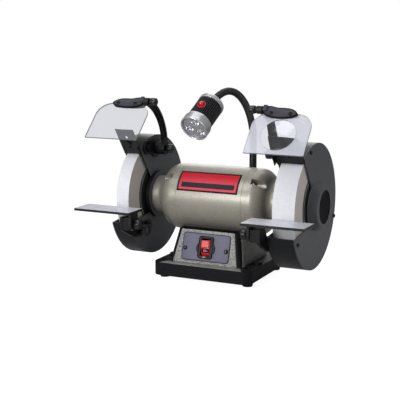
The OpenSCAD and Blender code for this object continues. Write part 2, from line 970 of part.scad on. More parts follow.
module shield_arm() {
    difference() {
        union() {
            along_x(arm_x, arm_x + arm_w)
                intersection() {
                    difference() {
                        translate(arm_arc_mid)
                            circle(arm_arc_r + arm_half_w, $fn = 128);
                        translate(arm_arc_mid)
                            circle(arm_arc_r - arm_half_w, $fn = 128);
                    }
                    translate(arm_arc_mid)
                        polygon([[0, 0], [150, -8], [150, 120],
                            [150 * cos(arm_eye_angle), 150 * sin(arm_eye_angle)]]);
                }
            along_x(arm_x - 2, arm_x + eps)
                intersection() {
                    difference() {
                        translate(arm_arc_mid)
                            circle(arm_arc_r + 1.5, $fn = 128);
                        translate(arm_arc_mid)
                            circle(arm_arc_r - 1.5, $fn = 128);
                    }
                    translate(arm_arc_mid)
                        polygon([[0, 0], [150, 30], [150, 120],
                            [150 * cos(arm_eye_angle - 6), 150 * sin(arm_eye_angle - 6)]]);
                }
            bar_x(arm_boss_r, arm_x, plate_x - slide_gap, arm_pivot);
            bar_x(eye_r, arm_x - 2, arm_x + arm_w, arm_eye);
            along_x(plate_x - 4.5, plate_x - slide_gap)
                union() {
                    translate(arm_pivot)
                        rotate(guide_angle)
                            translate([-12, -lobe_half])
                                square([guide_arc_r + 12, 2 * lobe_half]);
                    translate(guide_at())
                        circle(lobe_half + 1);
                    translate(arm_pivot)
                        circle(18);
                }
        }
        bar_x(stud_r + run_fit, arm_x - 5, plate_x + 1, arm_pivot);
        bar_x(rod_r + run_fit, arm_x - 5, arm_x + arm_w + 5, arm_eye);
        along_x(plate_x - 6, plate_x + 1)
            for (a = [-10.5:1.5:10.5])
                translate([arm_pivot[0] + guide_arc_r * cos(guide_angle + a),
                        arm_pivot[1] + guide_arc_r * sin(guide_angle + a)])
                    circle(guide_r + 0.4);
    }
}

module shield_arm_right() {
    color("#17171a")
    arm_turn(right_arm_tilt)
        shield_arm();
}

module shield_arm_left() {
    color("#17171a")
    on_left()
        arm_turn(left_arm_tilt)
            shield_arm();
}

module side_studs() {
    bar_x(stud_r, arm_x - 10, plate_out_x + eps, arm_pivot);
    bar_x(7, plate_out_x, plate_out_x + 2, arm_pivot);
    bar_x(guide_r, plate_x - 6, plate_out_x + 1.5, guide_at());
    bar_x(5, plate_x - 9, plate_x - 4.8, guide_at());
}

module guard_studs() {
    color("#6f7278") {
        side_studs();
        side_rest_bolts();
        on_left() {
            side_studs();
            side_rest_bolts();
        }
    }
}

module arm_knob() {
    knob_x(knob_r, arm_x - knob_len - slide_gap, arm_x - slide_gap, arm_pivot,
        stud_r + run_fit, arm_x - 11);
}

module arm_knob_right() {
    color("#131315")
    arm_knob();
}

module arm_knob_left() {
    color("#131315")
    on_left()
        arm_knob();
}

module clamp_outline(x0, x1) {
    union() {
        translate([x0, -clamp_half_h])
            square([x1 - x0 - clamp_half_h, 2 * clamp_half_h]);
        translate([x1 - clamp_half_h, 0])
            circle(clamp_half_h);
    }
}

module shield_clamp() {
    x1 = clamp_in_x + clamp_len;
    half = shield_t / 2;
    lug_x = clamp_in_x + 8;
    on_slope() {
        difference() {
            union() {
                translate([0, 0, -half - seat_gap - clamp_t])
                    linear_extrude(clamp_t)
                        clamp_outline(lug_x, x1);
                for (x = clamp_screw_x)
                    translate([x, 0, -half - seat_gap - clamp_t - 1.2 + eps])
                        cylinder(r = 3.6, h = 1.2);
            }
            for (x = clamp_screw_x)
                translate([x, 0, -half - clamp_t - 3.6])
                    cylinder(r = 1.6, h = 3, $fn = 6);
        }
        union() {
            translate([0, 0, half + seat_gap])
                linear_extrude(clamp_t)
                    clamp_outline(lug_x - 1, x1);
            translate([clamp_in_x, -rod_up - 6, -rod_back - rod_r - 2])
                cube([8 - slide_gap, rod_up + 6 + shield_top - slide_gap,
                    rod_back + rod_r + 2 + half + clamp_t]);
            translate([clamp_in_x, -rod_up, -rod_back])
                rotate([0, 90, 0])
                    translate([0, 0, -clamp_in_x + arm_x - 11])
                        cylinder(r = rod_r, h = clamp_in_x - arm_x + 12);
            for (x = clamp_screw_x)
                translate([x, 0, -half - seat_gap - eps])
                    cylinder(r = 1.5, h = shield_t + 2 * seat_gap);
        }
    }
}

module shield_clamp_right() {
    color("#3a3c42")
    arm_turn(right_arm_tilt)
        shield_clamp();
}

module shield_clamp_left() {
    color("#3a3c42")
    on_left()
        arm_turn(left_arm_tilt)
            shield_clamp();
}

module shield_knob() {
    knob_x(knob_r - 1, arm_x - 2 - knob_len - slide_gap, arm_x - 2 - slide_gap, arm_eye,
        rod_r + run_fit, arm_x - 12);
}

module shield_knob_right() {
    color("#131315")
    arm_turn(right_arm_tilt)
        shield_knob();
}

module shield_knob_left() {
    color("#131315")
    on_left()
        arm_turn(left_arm_tilt)
            shield_knob();
}

// A clear sheet with square lower corners and round upper ones
module shield_sheet() {
    r = shield_corner_r;
    x1 = shield_in_x + shield_w;
    low = shield_top + shield_len;
    on_slope()
        difference() {
            translate([0, 0, -shield_t / 2])
                linear_extrude(shield_t)
                    union() {
                        translate([shield_in_x, shield_top + r])
                            square([shield_w, shield_len - r]);
                        translate([shield_in_x + r, shield_top])
                            square([shield_w - 2 * r, low - shield_top]);
                        for (x = [shield_in_x + r, x1 - r])
                            translate([x, shield_top + r])
                                circle(r);
                    }
            for (x = clamp_screw_x)
                translate([x, 0, -5])
                    cylinder(r = 1.5 + run_fit, h = 10);
        }
}

module eye_shield_right() {
    color("#d5dbe6", 0.5)
    arm_turn(right_arm_tilt)
        shield_sheet();
}

module eye_shield_left() {
    color("#d5dbe6", 0.5)
    on_left()
        arm_turn(left_arm_tilt)
            shield_sheet();
}

module magnifier_lens() {
    color("#e6ecf4", 0.5)
    arm_turn(right_arm_tilt)
        on_slope()
            translate([shield_in_x + shield_w / 2, shield_top + lens_down, shield_t / 2])
                cylinder(r = magnifier_d / 2, h = 2.5);
}

// ---- Tool rests ----

function rest_axis(back) = [back - rest_depth / 2 + 1, rest_axis_z];

module rest_bracket(back) {
    at = rest_axis(back);
    x1 = plate_x - slide_gap;
    x0 = x1 - rest_bar_t;
    low = arbor_h - 68;
    difference() {
        union() {
            along_x(x0, x1)
                polygon([
                    [-35, low], [-100, low], [at[0] - 11, at[1] - 13], [at[0] - 11, at[1] + 12],
                    [at[0] + 11, at[1] + 12], [-104, low + 26], [-35, low + 22]
                ]);
            along_x(rest_leg_x + rest_leg_t + slide_gap, x0 + eps)
                translate([at[0] - 10, at[1] - 12])
                    square([20, 22]);
            bar_x(rest_stud_r, rest_leg_x - 9, x1 - eps, at);
        }
        along_x(x0 - 1, x1 + 1)
            for (p = rest_bolt_places) {
                translate([p[0] - rest_slot_half + rest_bolt_r, arbor_h + p[1] - rest_bolt_r - 0.4])
                    square([2 * (rest_slot_half - rest_bolt_r), 2 * rest_bolt_r + 0.8]);
                for (s = [-1, 1])
                    translate([p[0] + s * (rest_slot_half - rest_bolt_r), arbor_h + p[1]])
                        circle(rest_bolt_r + 0.4);
            }
    }
}

module rest_bracket_right() {
    color("#1b1b1e")
    rest_bracket(right_rest_back);
}

module rest_bracket_left() {
    color("#1b1b1e")
    on_left()
        rest_bracket(left_rest_back);
}

module rest_table(mid_x, back) {
    at = rest_axis(back);
    difference() {
        union() {
            translate([mid_x - rest_w / 2, back - rest_depth, rest_top - rest_t])
                cube([rest_w, rest_depth, rest_t]);
            along_x(rest_leg_x, rest_leg_x + rest_leg_t)
                union() {
                    translate([at[0] - 13, at[1]])
                        square([26, rest_top - rest_t - at[1] + eps]);
                    translate(at)
                        circle(13);
                }
        }
        bar_x(rest_stud_r + 0.07, rest_leg_x - 1, rest_leg_x + rest_leg_t + 1, at);
    }
}

module rest_table_right() {
    color("#c9ccd2")
    rest_table(right_rest_x, right_rest_back);
}

module rest_table_left() {
    color("#c9ccd2")
    on_left()
        rest_table(left_rest_x, left_rest_back);
}

module rest_knob(back) {
    knob_x(knob_r + 1.5, rest_leg_x - 14 - slide_gap, rest_leg_x - slide_gap, rest_axis(back),
        rest_stud_r + 0.07, rest_leg_x - 10);
}

module rest_knob_right() {
    color("#131315")
    rest_knob(right_rest_back);
}

module rest_knob_left() {
    color("#131315")
    on_left()
        rest_knob(left_rest_back);
}

// The inner end of each bolt through the guard, just clear of the bracket
function bracket_x() = plate_x - rest_bar_t - 2 * slide_gap;

function bolt_at(i) = [rest_bolt_places[i][0], arbor_h + rest_bolt_places[i][1]];

module side_rest_bolts() {
    for (i = [0, 1])
        bar_x(rest_bolt_r, bracket_x() - (i == 0 ? 1 : slide_knob_len - 6), plate_out_x + 1.5,
            bolt_at(i));
    bar_x(8, bracket_x() - 1.5, bracket_x(), bolt_at(0));
    translate([bracket_x() - 7, bolt_at(0)[0], bolt_at(0)[1]])
        rotate([0, 90, 0])
            cylinder(r = 7, h = 5.5 + eps, $fn = 6);
}

module slide_knob() {
    knob_x(slide_knob_r, bracket_x() - slide_knob_len, bracket_x(), bolt_at(1),
        rest_bolt_r + run_fit, bracket_x() - slide_knob_len + 5);
}

module slide_knob_right() {
    color("#131315")
    slide_knob();
}

module slide_knob_left() {
    color("#131315")
    on_left()
        slide_knob();
}

// ---- Work lamp ----

module lamp_post() {
    color("#161618")
    union() {
        translate([post_xy[0], post_xy[1], slab_top - 7])
            cylinder(r = tube_r, h = neck_start[2] - slab_top + 7);
        translate([post_xy[0], post_xy[1], slab_top])
            cylinder(r = tube_r + 4, h = post_foot_h, $fn = 6);
        translate([post_xy[0], post_xy[1], slab_top + post_foot_h - eps])
            cylinder(r = tube_r + 2.5, h = 6);
        translate(neck_start)
            sphere(r = ball_r);
    }
}

// A round rod along Z that ends in a ball
module ball_rod(z0, z1) {
    rotate_extrude()
        intersection() {
            union() {
                translate([0, z0])
                    square([tube_r, z1 - z0]);
                translate([0, z1])
                    circle(ball_r);
            }
            translate([0, z0])
                square([2 * ball_r, z1 - z0 + 2 * ball_r]);
        }
}

// One link of the gooseneck: it starts clear of one ball and ends in the next
module neck_link(i) {
    from = neck_ends[i];
    to = neck_ends[i + 1];
    start = ball_r + slide_gap;
    color("#161618")
    if (i < len(neck_joints) - 1)
        translate(from)
            aim(to - from)
                ball_rod(start, norm(to - from));
    else
        difference() {
            translate(from)
                aim(to - from)
                    translate([0, 0, start])
                        cylinder(r = tube_r, h = norm(to - from) - start);
            on_lamp()
                translate([0, 0, -lamp_boss_h])
                    cylinder(r = 3 * tube_r, h = 3 * tube_r);
        }
}

// Puts a piece on the lamp, with Z running from its back to its face
module on_lamp() {
    translate(lamp_back)
        aim(lamp_dir)
            children();
}

module lamp_rings() {
    face = lamp_len;
    color("#c3c6cb")
    on_lamp() {
        rotate_extrude()
            polygon([[0, -lamp_boss_h], [tube_r + 2, -lamp_boss_h], [tube_r + 2, 0],
                [lamp_r - 1.5, 0], [lamp_r, 1.5], [lamp_r, cap_len],
                [lamp_r - 2.5, cap_len], [lamp_r - 2.5, 3], [0, 3]]);
        rotate_extrude()
            polygon([[lamp_r - 2.5, face - bezel_len], [lamp_r, face - bezel_len],
                [bezel_r, face - bezel_len + 3], [bezel_r, face - 1], [bezel_r - 1, face],
                [bezel_r - 3, face], [bezel_r - 3, face - 12], [lamp_r - 2.5, face - 14]]);
    }
}

module lamp_grip() {
    color("#141416")
    difference() {
        on_lamp()
            translate([0, 0, cap_len + seat_gap])
                difference() {
                    cylinder(r = lamp_r - 0.5, h = lamp_len - bezel_len - cap_len - 2 * seat_gap);
                    translate([0, 0, -1])
                        cylinder(r = lamp_r - 3, h = lamp_len);
                }
        translate(lamp_back + button_s * lamp_dir)
            aim(button_dir)
                cylinder(r = button_r + run_fit, h = lamp_r + 10);
    }
}

module lamp_reflector() {
    color("#9a9da2")
    on_lamp()
        difference() {
            translate([0, 0, lamp_len - 11])
                cylinder(r = bezel_r - 3 - seat_gap, h = 7);
            for (a = led_angles)
                translate([led_circle_r * cos(a), led_circle_r * sin(a), lamp_len - 9])
                    cylinder(r1 = led_r + seat_gap, r2 = led_r + 3, h = 5 + eps);
        }
}

module lamp_leds() {
    color("#f2f4f8")
    on_lamp()
        for (a = led_angles)
            translate([led_circle_r * cos(a), led_circle_r * sin(a), lamp_len - 9])
                cylinder(r = led_r, h = 6);
}

module lamp_button() {
    color("#d8172b")
    translate(lamp_back + button_s * lamp_dir)
        aim(button_dir) {
            translate([0, 0, lamp_r - 8])
                cylinder(r = button_r, h = 12.5);
            translate([0, 0, lamp_r + 4.5])
                cylinder(r1 = button_r, r2 = button_r - 1.5, h = 1.5);
        }
}

base_casting();
bottom_plate();
rubber_feet();
machine_screws();
switch_plate();
switch_housing();
switch_rocker();
run_capacitor();
cord_gland();
motor_shell();
end_bell_left();
end_bell_right();
through_bolts();
stator_core();
stator_windings();
rotor_core();
arbor_shaft();
arbor_bearings();
wheel_flanges();
wheel_blotters();
wheel_left();
wheel_right();
arbor_nuts();
guard_left();
guard_right();
guard_cover_left();
guard_cover_right();
guard_studs();
spark_arrestor_left();
spark_arrestor_right();
shield_arm_left();
shield_arm_right();
arm_knob_left();
arm_knob_right();
shield_clamp_left();
shield_clamp_right();
shield_knob_left();
shield_knob_right();
eye_shield_left();
eye_shield_right();
magnifier_lens();
rest_bracket_left();
rest_bracket_right();
rest_table_left();
rest_table_right();
rest_knob_left();
rest_knob_right();
slide_knob_left();
slide_knob_right();
lamp_post();
neck_link(0);  // neck_link_1
neck_link(1);  // neck_link_2
neck_link(2);  // neck_link_3
neck_link(3);  // neck_link_4
neck_link(4);  // neck_link_5
lamp_rings();
lamp_grip();
lamp_reflector();
lamp_leds();
lamp_button();
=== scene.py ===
"""Looks of a double-ended bench grinder with eye shields, tool rests and a gooseneck work lamp.

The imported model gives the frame: +X runs along the arbor, -Y is the operator's side and +Z is up.
All lengths here are in millimetres until the one scale at the end of each piece turns them to metres.
"""

import json
import logging
import math
from dataclasses import dataclass
from enum import Enum
from typing import Any, Callable, Iterable, Sequence

import bpy
from mathutils import Matrix, Vector

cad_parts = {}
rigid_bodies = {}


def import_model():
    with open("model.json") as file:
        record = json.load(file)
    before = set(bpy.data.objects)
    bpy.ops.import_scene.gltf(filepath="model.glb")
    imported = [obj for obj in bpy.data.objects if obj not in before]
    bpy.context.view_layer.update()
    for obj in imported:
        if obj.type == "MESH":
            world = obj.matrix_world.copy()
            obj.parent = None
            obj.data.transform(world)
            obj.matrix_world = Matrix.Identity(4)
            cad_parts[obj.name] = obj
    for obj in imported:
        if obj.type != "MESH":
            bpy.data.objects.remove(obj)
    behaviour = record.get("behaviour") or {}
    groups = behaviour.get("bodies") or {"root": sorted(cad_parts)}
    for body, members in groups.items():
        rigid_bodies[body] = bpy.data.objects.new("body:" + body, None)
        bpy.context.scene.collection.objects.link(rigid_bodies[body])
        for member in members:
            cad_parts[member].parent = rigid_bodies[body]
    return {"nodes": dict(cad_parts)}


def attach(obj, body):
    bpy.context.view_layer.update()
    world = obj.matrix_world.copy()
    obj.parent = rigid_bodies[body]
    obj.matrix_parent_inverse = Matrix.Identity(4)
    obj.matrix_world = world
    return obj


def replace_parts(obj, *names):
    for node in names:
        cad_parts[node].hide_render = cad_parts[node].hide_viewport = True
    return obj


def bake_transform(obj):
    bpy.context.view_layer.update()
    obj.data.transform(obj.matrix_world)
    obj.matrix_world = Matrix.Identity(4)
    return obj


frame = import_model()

LOG = logging.getLogger("bench_grinder")
MM = 0.001
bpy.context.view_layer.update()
Vec = tuple[float, float, float]
Tree = bpy.types.NodeTree
Node = bpy.types.Node
Socket = bpy.types.NodeSocket

# The arbor's height over the bench
ARBOR_H = 143.5
# How far the eye shields lean up from level, and the tilt of the right arm, in degrees
SHEET_LEAN = 45.0
RIGHT_ARM_TILT = 5.0


class Side(Enum):
    """The two ends of the machine, with the sign of X on each."""

    LEFT = -1
    RIGHT = 1

    @property
    def tag(self) -> str:
        """Give the side's name as it stands at the end of a node's name."""
        return self.name.lower()


# ---- Colour and node helpers ----

# The Mix node's sockets for colours and for values, which share their names
COLOUR_A, COLOUR_B, COLOUR_OUT = 6, 7, 2
VALUE_A, VALUE_B, VALUE_OUT = 2, 3, 0

# Cosines between which a face starts to count, and counts fully, as turned along an axis
FLAT_FACE = (0.86, 0.92)
SHEET_FACE = (0.5, 0.8)


def linear(code: str, alpha: float = 1.0) -> tuple[float, float, float, float]:
    """Turn an sRGB hex colour to linear values.

    Args:
        code: Six hex digits, with or without a leading mark.
        alpha: The fourth value.

    Returns:
        Red, green, blue and alpha, linear.
    """
    digits = code.lstrip("#")
    parts = [int(digits[i : i + 2], 16) / 255 for i in (0, 2, 4)]
    out = [c / 12.92 if c <= 0.04045 else ((c + 0.055) / 1.055) ** 2.4 for c in parts]
    return (out[0], out[1], out[2], alpha)


def add_node(tree: Tree, kind: str, inputs: dict[str | int, Any] | None = None, **settings: Any) -> Node:
    """Add one node to a tree, set it up and feed its inputs.

    Args:
        tree: The tree that takes the node.
        kind: The node's type without the "ShaderNode" in front.
        inputs: Input name or number, to the output socket that feeds it or to its value.
        settings: Node attributes by name.

    Returns:
        The new node.
    """
    node = tree.nodes.new("ShaderNode" + kind)
    for key, value in settings.items():
        setattr(node, key, value)
    for key, value in (inputs or {}).items():
        if isinstance(value, Socket):
            tree.links.new(value, node.inputs[key])
        else:
            node.inputs[key].default_value = value
    return node


def facing(tree: Tree, axis: Vec, span: tuple[float, float]) -> Socket:
    """Tell how far a surface faces one way or its opposite.

    Args:
        tree: The material's tree.
        axis: The direction, one long.
        span: The cosines that give 0 and 1.

    Returns:
        A value from 0 to 1.
    """
    normal = add_node(tree, "TexCoord").outputs["Normal"]
    turned = add_node(tree, "VectorMath", {0: normal, 1: axis}, operation="DOT_PRODUCT").outputs["Value"]
    size = add_node(tree, "Math", {0: turned}, operation="ABSOLUTE").outputs["Value"]
    share = add_node(tree, "MapRange", {"Value": size, "From Min": span[0], "From Max": span[1]})
    return share.outputs["Result"]


def leaning(degrees: float) -> Vec:
    """Give the direction square to a sheet that leans so many degrees up from level."""
    return (0.0, math.sin(math.radians(degrees)), -math.cos(math.radians(degrees)))


# ---- Finishes ----


@dataclass(frozen=True)
class Finish:
    """A surface with a base colour, small relief and a little unevenness.

    Scales are real sizes in millimetres.
    """

    name: str
    colour: str
    roughness: float = 0.5
    metallic: float = 0.0
    ior: float = 1.5
    coat: float = 0.0
    coat_roughness: float = 0.1
    grain_mm: float = 0.6
    relief_mm: float = 0.02
    stretch: Vec = (1.0, 1.0, 1.0)
    speck: str = ""
    speck_mm: float = 1.0
    speck_share: float = 0.3
    cloud: float = 0.06
    cloud_mm: float = 60.0
    edge_mm: float = 0.5
    worn: str = ""
    scuff_mm: float = 3.0
    smear_mm: float = 9.0

    def build(self) -> bpy.types.Material:
        """Make the material, or return it if it is there already.

        Returns:
            The material.
        """
        known = bpy.data.materials.get(self.name)
        if known:
            return known
        material = bpy.data.materials.new(self.name)
        material.use_nodes = True
        tree = material.node_tree
        shader = tree.nodes["Principled BSDF"]
        grain = self._grain(tree)
        tree.links.new(self.pattern(tree, self._colour(tree, grain)), shader.inputs["Base Color"])
        tree.links.new(self._roughness(tree, grain), shader.inputs["Roughness"])
        tree.links.new(self._relief(tree, grain), shader.inputs["Normal"])
        shader.inputs["Metallic"].default_value = self.metallic
        if self.metallic < 1.0:
            shader.inputs["IOR"].default_value = self.ior
        shader.inputs["Coat Weight"].default_value = self.coat
        shader.inputs["Coat Roughness"].default_value = self.coat_roughness
        self.extra(tree, shader)
        return material

    def _grain(self, tree: Tree) -> Socket:
        """Give the object coordinates, stretched along the grain."""
        place = add_node(tree, "TexCoord").outputs["Object"]
        return add_node(tree, "Mapping", {"Vector": place, "Scale": self.stretch}).outputs["Vector"]

    def _colour(self, tree: Tree, grain: Socket) -> Socket:
        """Mix the base colour with slow clouds, specks and an edge colour: bare wear on most finishes, a
        painted highlight on the covers.

        Args:
            tree: The material's tree.
            grain: Stretched object coordinates.

        Returns:
            The colour socket.
        """
        place = add_node(tree, "TexCoord").outputs["Object"]
        base = linear(self.colour)[:3]
        dark = tuple(c * (1 - self.cloud) for c in base) + (1.0,)
        light = tuple(min(1.0, c * (1 + self.cloud)) for c in base) + (1.0,)
        slow = {"Vector": place, "Scale": 1 / (self.cloud_mm * MM), "Detail": 3.0}
        cloud = add_node(tree, "TexNoise", slow)
        clouds = {"Factor": cloud.outputs["Fac"], COLOUR_A: dark, COLOUR_B: light}
        out = add_node(tree, "Mix", clouds, data_type="RGBA").outputs[COLOUR_OUT]
        if self.speck:
            specks = {"Factor": self._specks(tree, grain), COLOUR_A: out, COLOUR_B: linear(self.speck)}
            out = add_node(tree, "Mix", specks, data_type="RGBA").outputs[COLOUR_OUT]
        if self.worn:
            edge_colour_mix = {"Factor": self._wear(tree, place), COLOUR_A: out, COLOUR_B: linear(self.worn)}
            out = add_node(tree, "Mix", edge_colour_mix, data_type="RGBA").outputs[COLOUR_OUT]
        return out

    def _specks(self, tree: Tree, grain: Socket) -> Socket:
        """Tell where a speck lies.

        Args:
            tree: The material's tree.
            grain: Stretched object coordinates.

        Returns:
            A value from 0 to 1.
        """
        fine = {"Vector": grain, "Scale": 1 / (self.speck_mm * MM), "Detail": 1.0}
        cells = add_node(tree, "TexNoise", fine).outputs["Fac"]
        cut = 0.5 + 0.36 * (0.5 - self.speck_share)
        ramp = add_node(tree, "MapRange", {"Value": cells, "From Min": cut, "From Max": cut + 0.05})
        return ramp.outputs["Result"]

    def _wear(self, tree: Tree, place: Socket) -> Socket:
        """Tell where an edge takes its edge colour, in scuffs: rubbed bare on most finishes, a painted
        highlight on the covers.

        Args:
            tree: The material's tree.
            place: Object coordinates.

        Returns:
            A value from 0 to 1.
        """
        edge = add_node(tree, "Bevel", {"Radius": self.edge_mm * 1.2 * MM}, samples=4).outputs["Normal"]
        flat = add_node(tree, "NewGeometry").outputs["Normal"]
        turned = add_node(tree, "VectorMath", {0: edge, 1: flat}, operation="DOT_PRODUCT").outputs["Value"]
        worn = add_node(tree, "MapRange", {"Value": turned, "From Min": 0.97, "From Max": 0.86})
        broken = {"Vector": place, "Scale": 1 / (self.scuff_mm * MM), "Detail": 4.0}
        scuff = add_node(tree, "TexNoise", broken)
        both = {0: worn.outputs["Result"], 1: scuff.outputs["Fac"]}
        return add_node(tree, "Math", both, operation="MULTIPLY").outputs["Value"]

    def _roughness(self, tree: Tree, grain: Socket) -> Socket:
        """Let the roughness wander a little, as handled surfaces do.

        Args:
            tree: The material's tree.
            grain: Stretched object coordinates.

        Returns:
            The roughness socket.
        """
        handled = {"Vector": grain, "Scale": 1 / (self.smear_mm * MM), "Detail": 4.0}
        smear = add_node(tree, "TexNoise", handled).outputs["Fac"]
        low, high = max(0.02, self.roughness * 0.85), min(1.0, self.roughness * 1.18)
        spread = add_node(tree, "MapRange", {"Value": smear, "To Min": low, "To Max": high})
        return spread.outputs["Result"]

    def _relief(self, tree: Tree, grain: Socket) -> Socket:
        """Round the edges in the shading and add the fine relief.

        Args:
            tree: The material's tree.
            grain: Stretched object coordinates.

        Returns:
            The normal socket.
        """
        edge = add_node(tree, "Bevel", {"Radius": self.edge_mm * MM}, samples=4).outputs["Normal"]
        fine = {"Vector": grain, "Scale": 1 / (self.grain_mm * MM), "Detail": 2.0}
        height = add_node(tree, "TexNoise", fine).outputs["Fac"]
        raised = {"Height": height, "Normal": edge, "Strength": 1.0, "Distance": self.relief_mm * MM}
        return add_node(tree, "Bump", raised).outputs["Normal"]

    def pattern(self, tree: Tree, colour: Socket) -> Socket:
        """Draw nothing over the colour; a special finish does."""
        return colour

    def extra(self, tree: Tree, shader: Node) -> None:
        """Add nothing more; a special finish does."""


@dataclass(frozen=True)
class FacedFinish(Finish):
    """A finish whose faces across one axis have another colour, as a ground top on a painted plate."""

    axis: Vec = (0.0, 0.0, 1.0)
    face_colour: str = "#ffffff"
    face_speck: str = "#ffffff"
    face_speck_mm: float = 1.0
    face_metallic: float = 0.0
    face_roughness: float = 0.5

    def pattern(self, tree: Tree, colour: Socket) -> Socket:
        """Lay the face's two colours over the rest.

        Args:
            tree: The material's tree.
            colour: The rest's colour.

        Returns:
            The colour socket.
        """
        share = facing(tree, self.axis, FLAT_FACE)
        fine = {"Vector": self._grain(tree), "Scale": 1 / (self.face_speck_mm * MM), "Detail": 3.0}
        cells = add_node(tree, "TexNoise", fine).outputs["Fac"]
        cut = add_node(tree, "MapRange", {"Value": cells, "From Min": 0.42, "From Max": 0.62})
        two = {COLOUR_A: linear(self.face_colour), COLOUR_B: linear(self.face_speck)}
        face = add_node(tree, "Mix", {"Factor": cut.outputs["Result"], **two}, data_type="RGBA")
        both = {"Factor": share, COLOUR_A: colour, COLOUR_B: face.outputs[COLOUR_OUT]}
        return add_node(tree, "Mix", both, data_type="RGBA").outputs[COLOUR_OUT]

    def extra(self, tree: Tree, shader: Node) -> None:
        """Give the faces their own metal look and gloss.

        Args:
            tree: The material's tree.
            shader: The material's shader.
        """
        share = facing(tree, self.axis, FLAT_FACE)
        ends = (
            ("Metallic", self.metallic, self.face_metallic),
            ("Roughness", self.roughness, self.face_roughness),
        )
        for key, rest, face in ends:
            mixed = add_node(tree, "MapRange", {"Value": share, "To Min": rest, "To Max": face})
            tree.links.new(mixed.outputs["Result"], shader.inputs[key])


@dataclass(frozen=True)
class DialFinish(Finish):
    """Printed paper washer: short light strokes round its edge, drawn about the arbor."""

    stroke: str = "#d9d9d6"
    strokes: float = 90.0
    share: float = 0.32
    inner_mm: float = 55.0
    outer_mm: float = 58.5

    def pattern(self, tree: Tree, colour: Socket) -> Socket:
        """Draw the strokes over the paper.

        Args:
            tree: The material's tree.
            colour: The paper's colour.

        Returns:
            The colour socket.
        """
        place = add_node(tree, "TexCoord").outputs["Object"]
        centre = (0.0, 0.0, ARBOR_H * MM)
        middle = add_node(tree, "VectorMath", {0: place, 1: centre}, operation="SUBTRACT").outputs[0]
        axes = add_node(tree, "SeparateXYZ", {0: middle}).outputs
        angle = add_node(tree, "Math", {0: axes["Z"], 1: axes["Y"]}, operation="ARCTAN2").outputs[0]
        rate = self.strokes / math.tau
        turns = add_node(tree, "Math", {0: angle, 1: rate}, operation="MULTIPLY").outputs[0]
        part = add_node(tree, "Math", {0: turns}, operation="FRACT").outputs[0]
        on_stroke = add_node(tree, "Math", {0: part, 1: self.share}, operation="LESS_THAN").outputs[0]
        flat = add_node(tree, "CombineXYZ", {1: axes["Y"], 2: axes["Z"]}).outputs[0]
        radius = add_node(tree, "VectorMath", {0: flat}, operation="LENGTH").outputs["Value"]
        band = {1: (self.inner_mm + self.outer_mm) / 2 * MM, 2: (self.outer_mm - self.inner_mm) / 2 * MM}
        ring = add_node(tree, "Math", {0: radius, **band}, operation="COMPARE").outputs[0]
        both = add_node(tree, "Math", {0: on_stroke, 1: ring}, operation="MULTIPLY").outputs[0]
        mixed = {"Factor": both, COLOUR_A: colour, COLOUR_B: linear(self.stroke)}
        return add_node(tree, "Mix", mixed, data_type="RGBA").outputs[COLOUR_OUT]


@dataclass(frozen=True)
class FadedPrint(Finish):
    """Print painted paler from its upper to its lower edge, as a painted highlight where the light's sheen
    runs under it.
    """

    lower: str = "#ffffff"
    z_low_mm: float = 0.0
    z_high_mm: float = 1.0

    def pattern(self, tree: Tree, colour: Socket) -> Socket:
        """Mix in the paler colour towards the lower edge, as painted highlight.

        Args:
            tree: The material's tree.
            colour: The ink's colour at the upper edge.

        Returns:
            The colour socket.
        """
        place = add_node(tree, "TexCoord").outputs["Object"]
        height = add_node(tree, "SeparateXYZ", {0: place}).outputs["Z"]
        edges = {"From Min": self.z_high_mm * MM, "From Max": self.z_low_mm * MM}
        share = add_node(tree, "MapRange", {"Value": height, **edges}).outputs["Result"]
        mixed = {"Factor": share, COLOUR_A: colour, COLOUR_B: linear(self.lower)}
        return add_node(tree, "Mix", mixed, data_type="RGBA").outputs[COLOUR_OUT]


@dataclass(frozen=True)
class ClearSheet(Finish):
    """Clear plastic sheet: light passes straight through a thin haze, and the sawn edge is dull."""

    haze: float = 0.1
    tint: str = "#eef1f6"
    axis: Vec = leaning(SHEET_LEAN)
    edge_haze: float = 0.85
    edge_colour: str = "#6f727a"

    def extra(self, tree: Tree, shader: Node) -> None:
        """Make the sheet clear, with the haze mixed in as a pale surface that grows towards grazing.

        Args:
            tree: The material's tree.
            shader: The material's shader.
        """
        clear = add_node(tree, "BsdfTransparent", {"Color": linear(self.tint)}).outputs[0]
        rim = add_node(tree, "LayerWeight", {"Blend": 0.5}).outputs["Facing"]
        steep = add_node(tree, "Math", {0: rim, 1: 5.0}, operation="POWER").outputs["Value"]
        broad = add_node(tree, "MapRange", {"Value": steep, "To Min": self.haze, "To Max": 1.0})
        share = facing(tree, self.axis, SHEET_FACE)
        edge = {0: share, VALUE_A: self.edge_haze, VALUE_B: broad.outputs["Result"]}
        amount = add_node(tree, "Mix", edge).outputs[VALUE_OUT]
        mixed = add_node(tree, "MixShader", {0: amount, 1: clear, 2: shader.outputs[0]})
        tree.links.new(mixed.outputs[0], tree.nodes["Material Output"].inputs["Surface"])

    def pattern(self, tree: Tree, colour: Socket) -> Socket:
        """Darken the sawn edge, where the sheet is seen end on.

        Args:
            tree: The material's tree.
            colour: The sheet's colour.

        Returns:
            The colour socket.
        """
        share = facing(tree, self.axis, SHEET_FACE)
        mixed = {"Factor": share, COLOUR_A: linear(self.edge_colour), COLOUR_B: colour}
        return add_node(tree, "Mix", mixed, data_type="RGBA").outputs[COLOUR_OUT]


@dataclass(frozen=True)
class CastGlass(Finish):
    """Ground lens: light bends through it."""

    def extra(self, tree: Tree, shader: Node) -> None:
        """Let the light through."""
        shader.inputs["Transmission Weight"].default_value = 1.0


# Cast iron with a wrinkle enamel: a black skin of small ridges that breaks every highlight
WRINKLE = Finish(
    "wrinkle_enamel_black", "#101012", 0.5, ior=1.22, grain_mm=1.4, relief_mm=0.3, edge_mm=1.6, cloud=0.1,
    speck="#232327", speck_mm=1.3, speck_share=0.45)
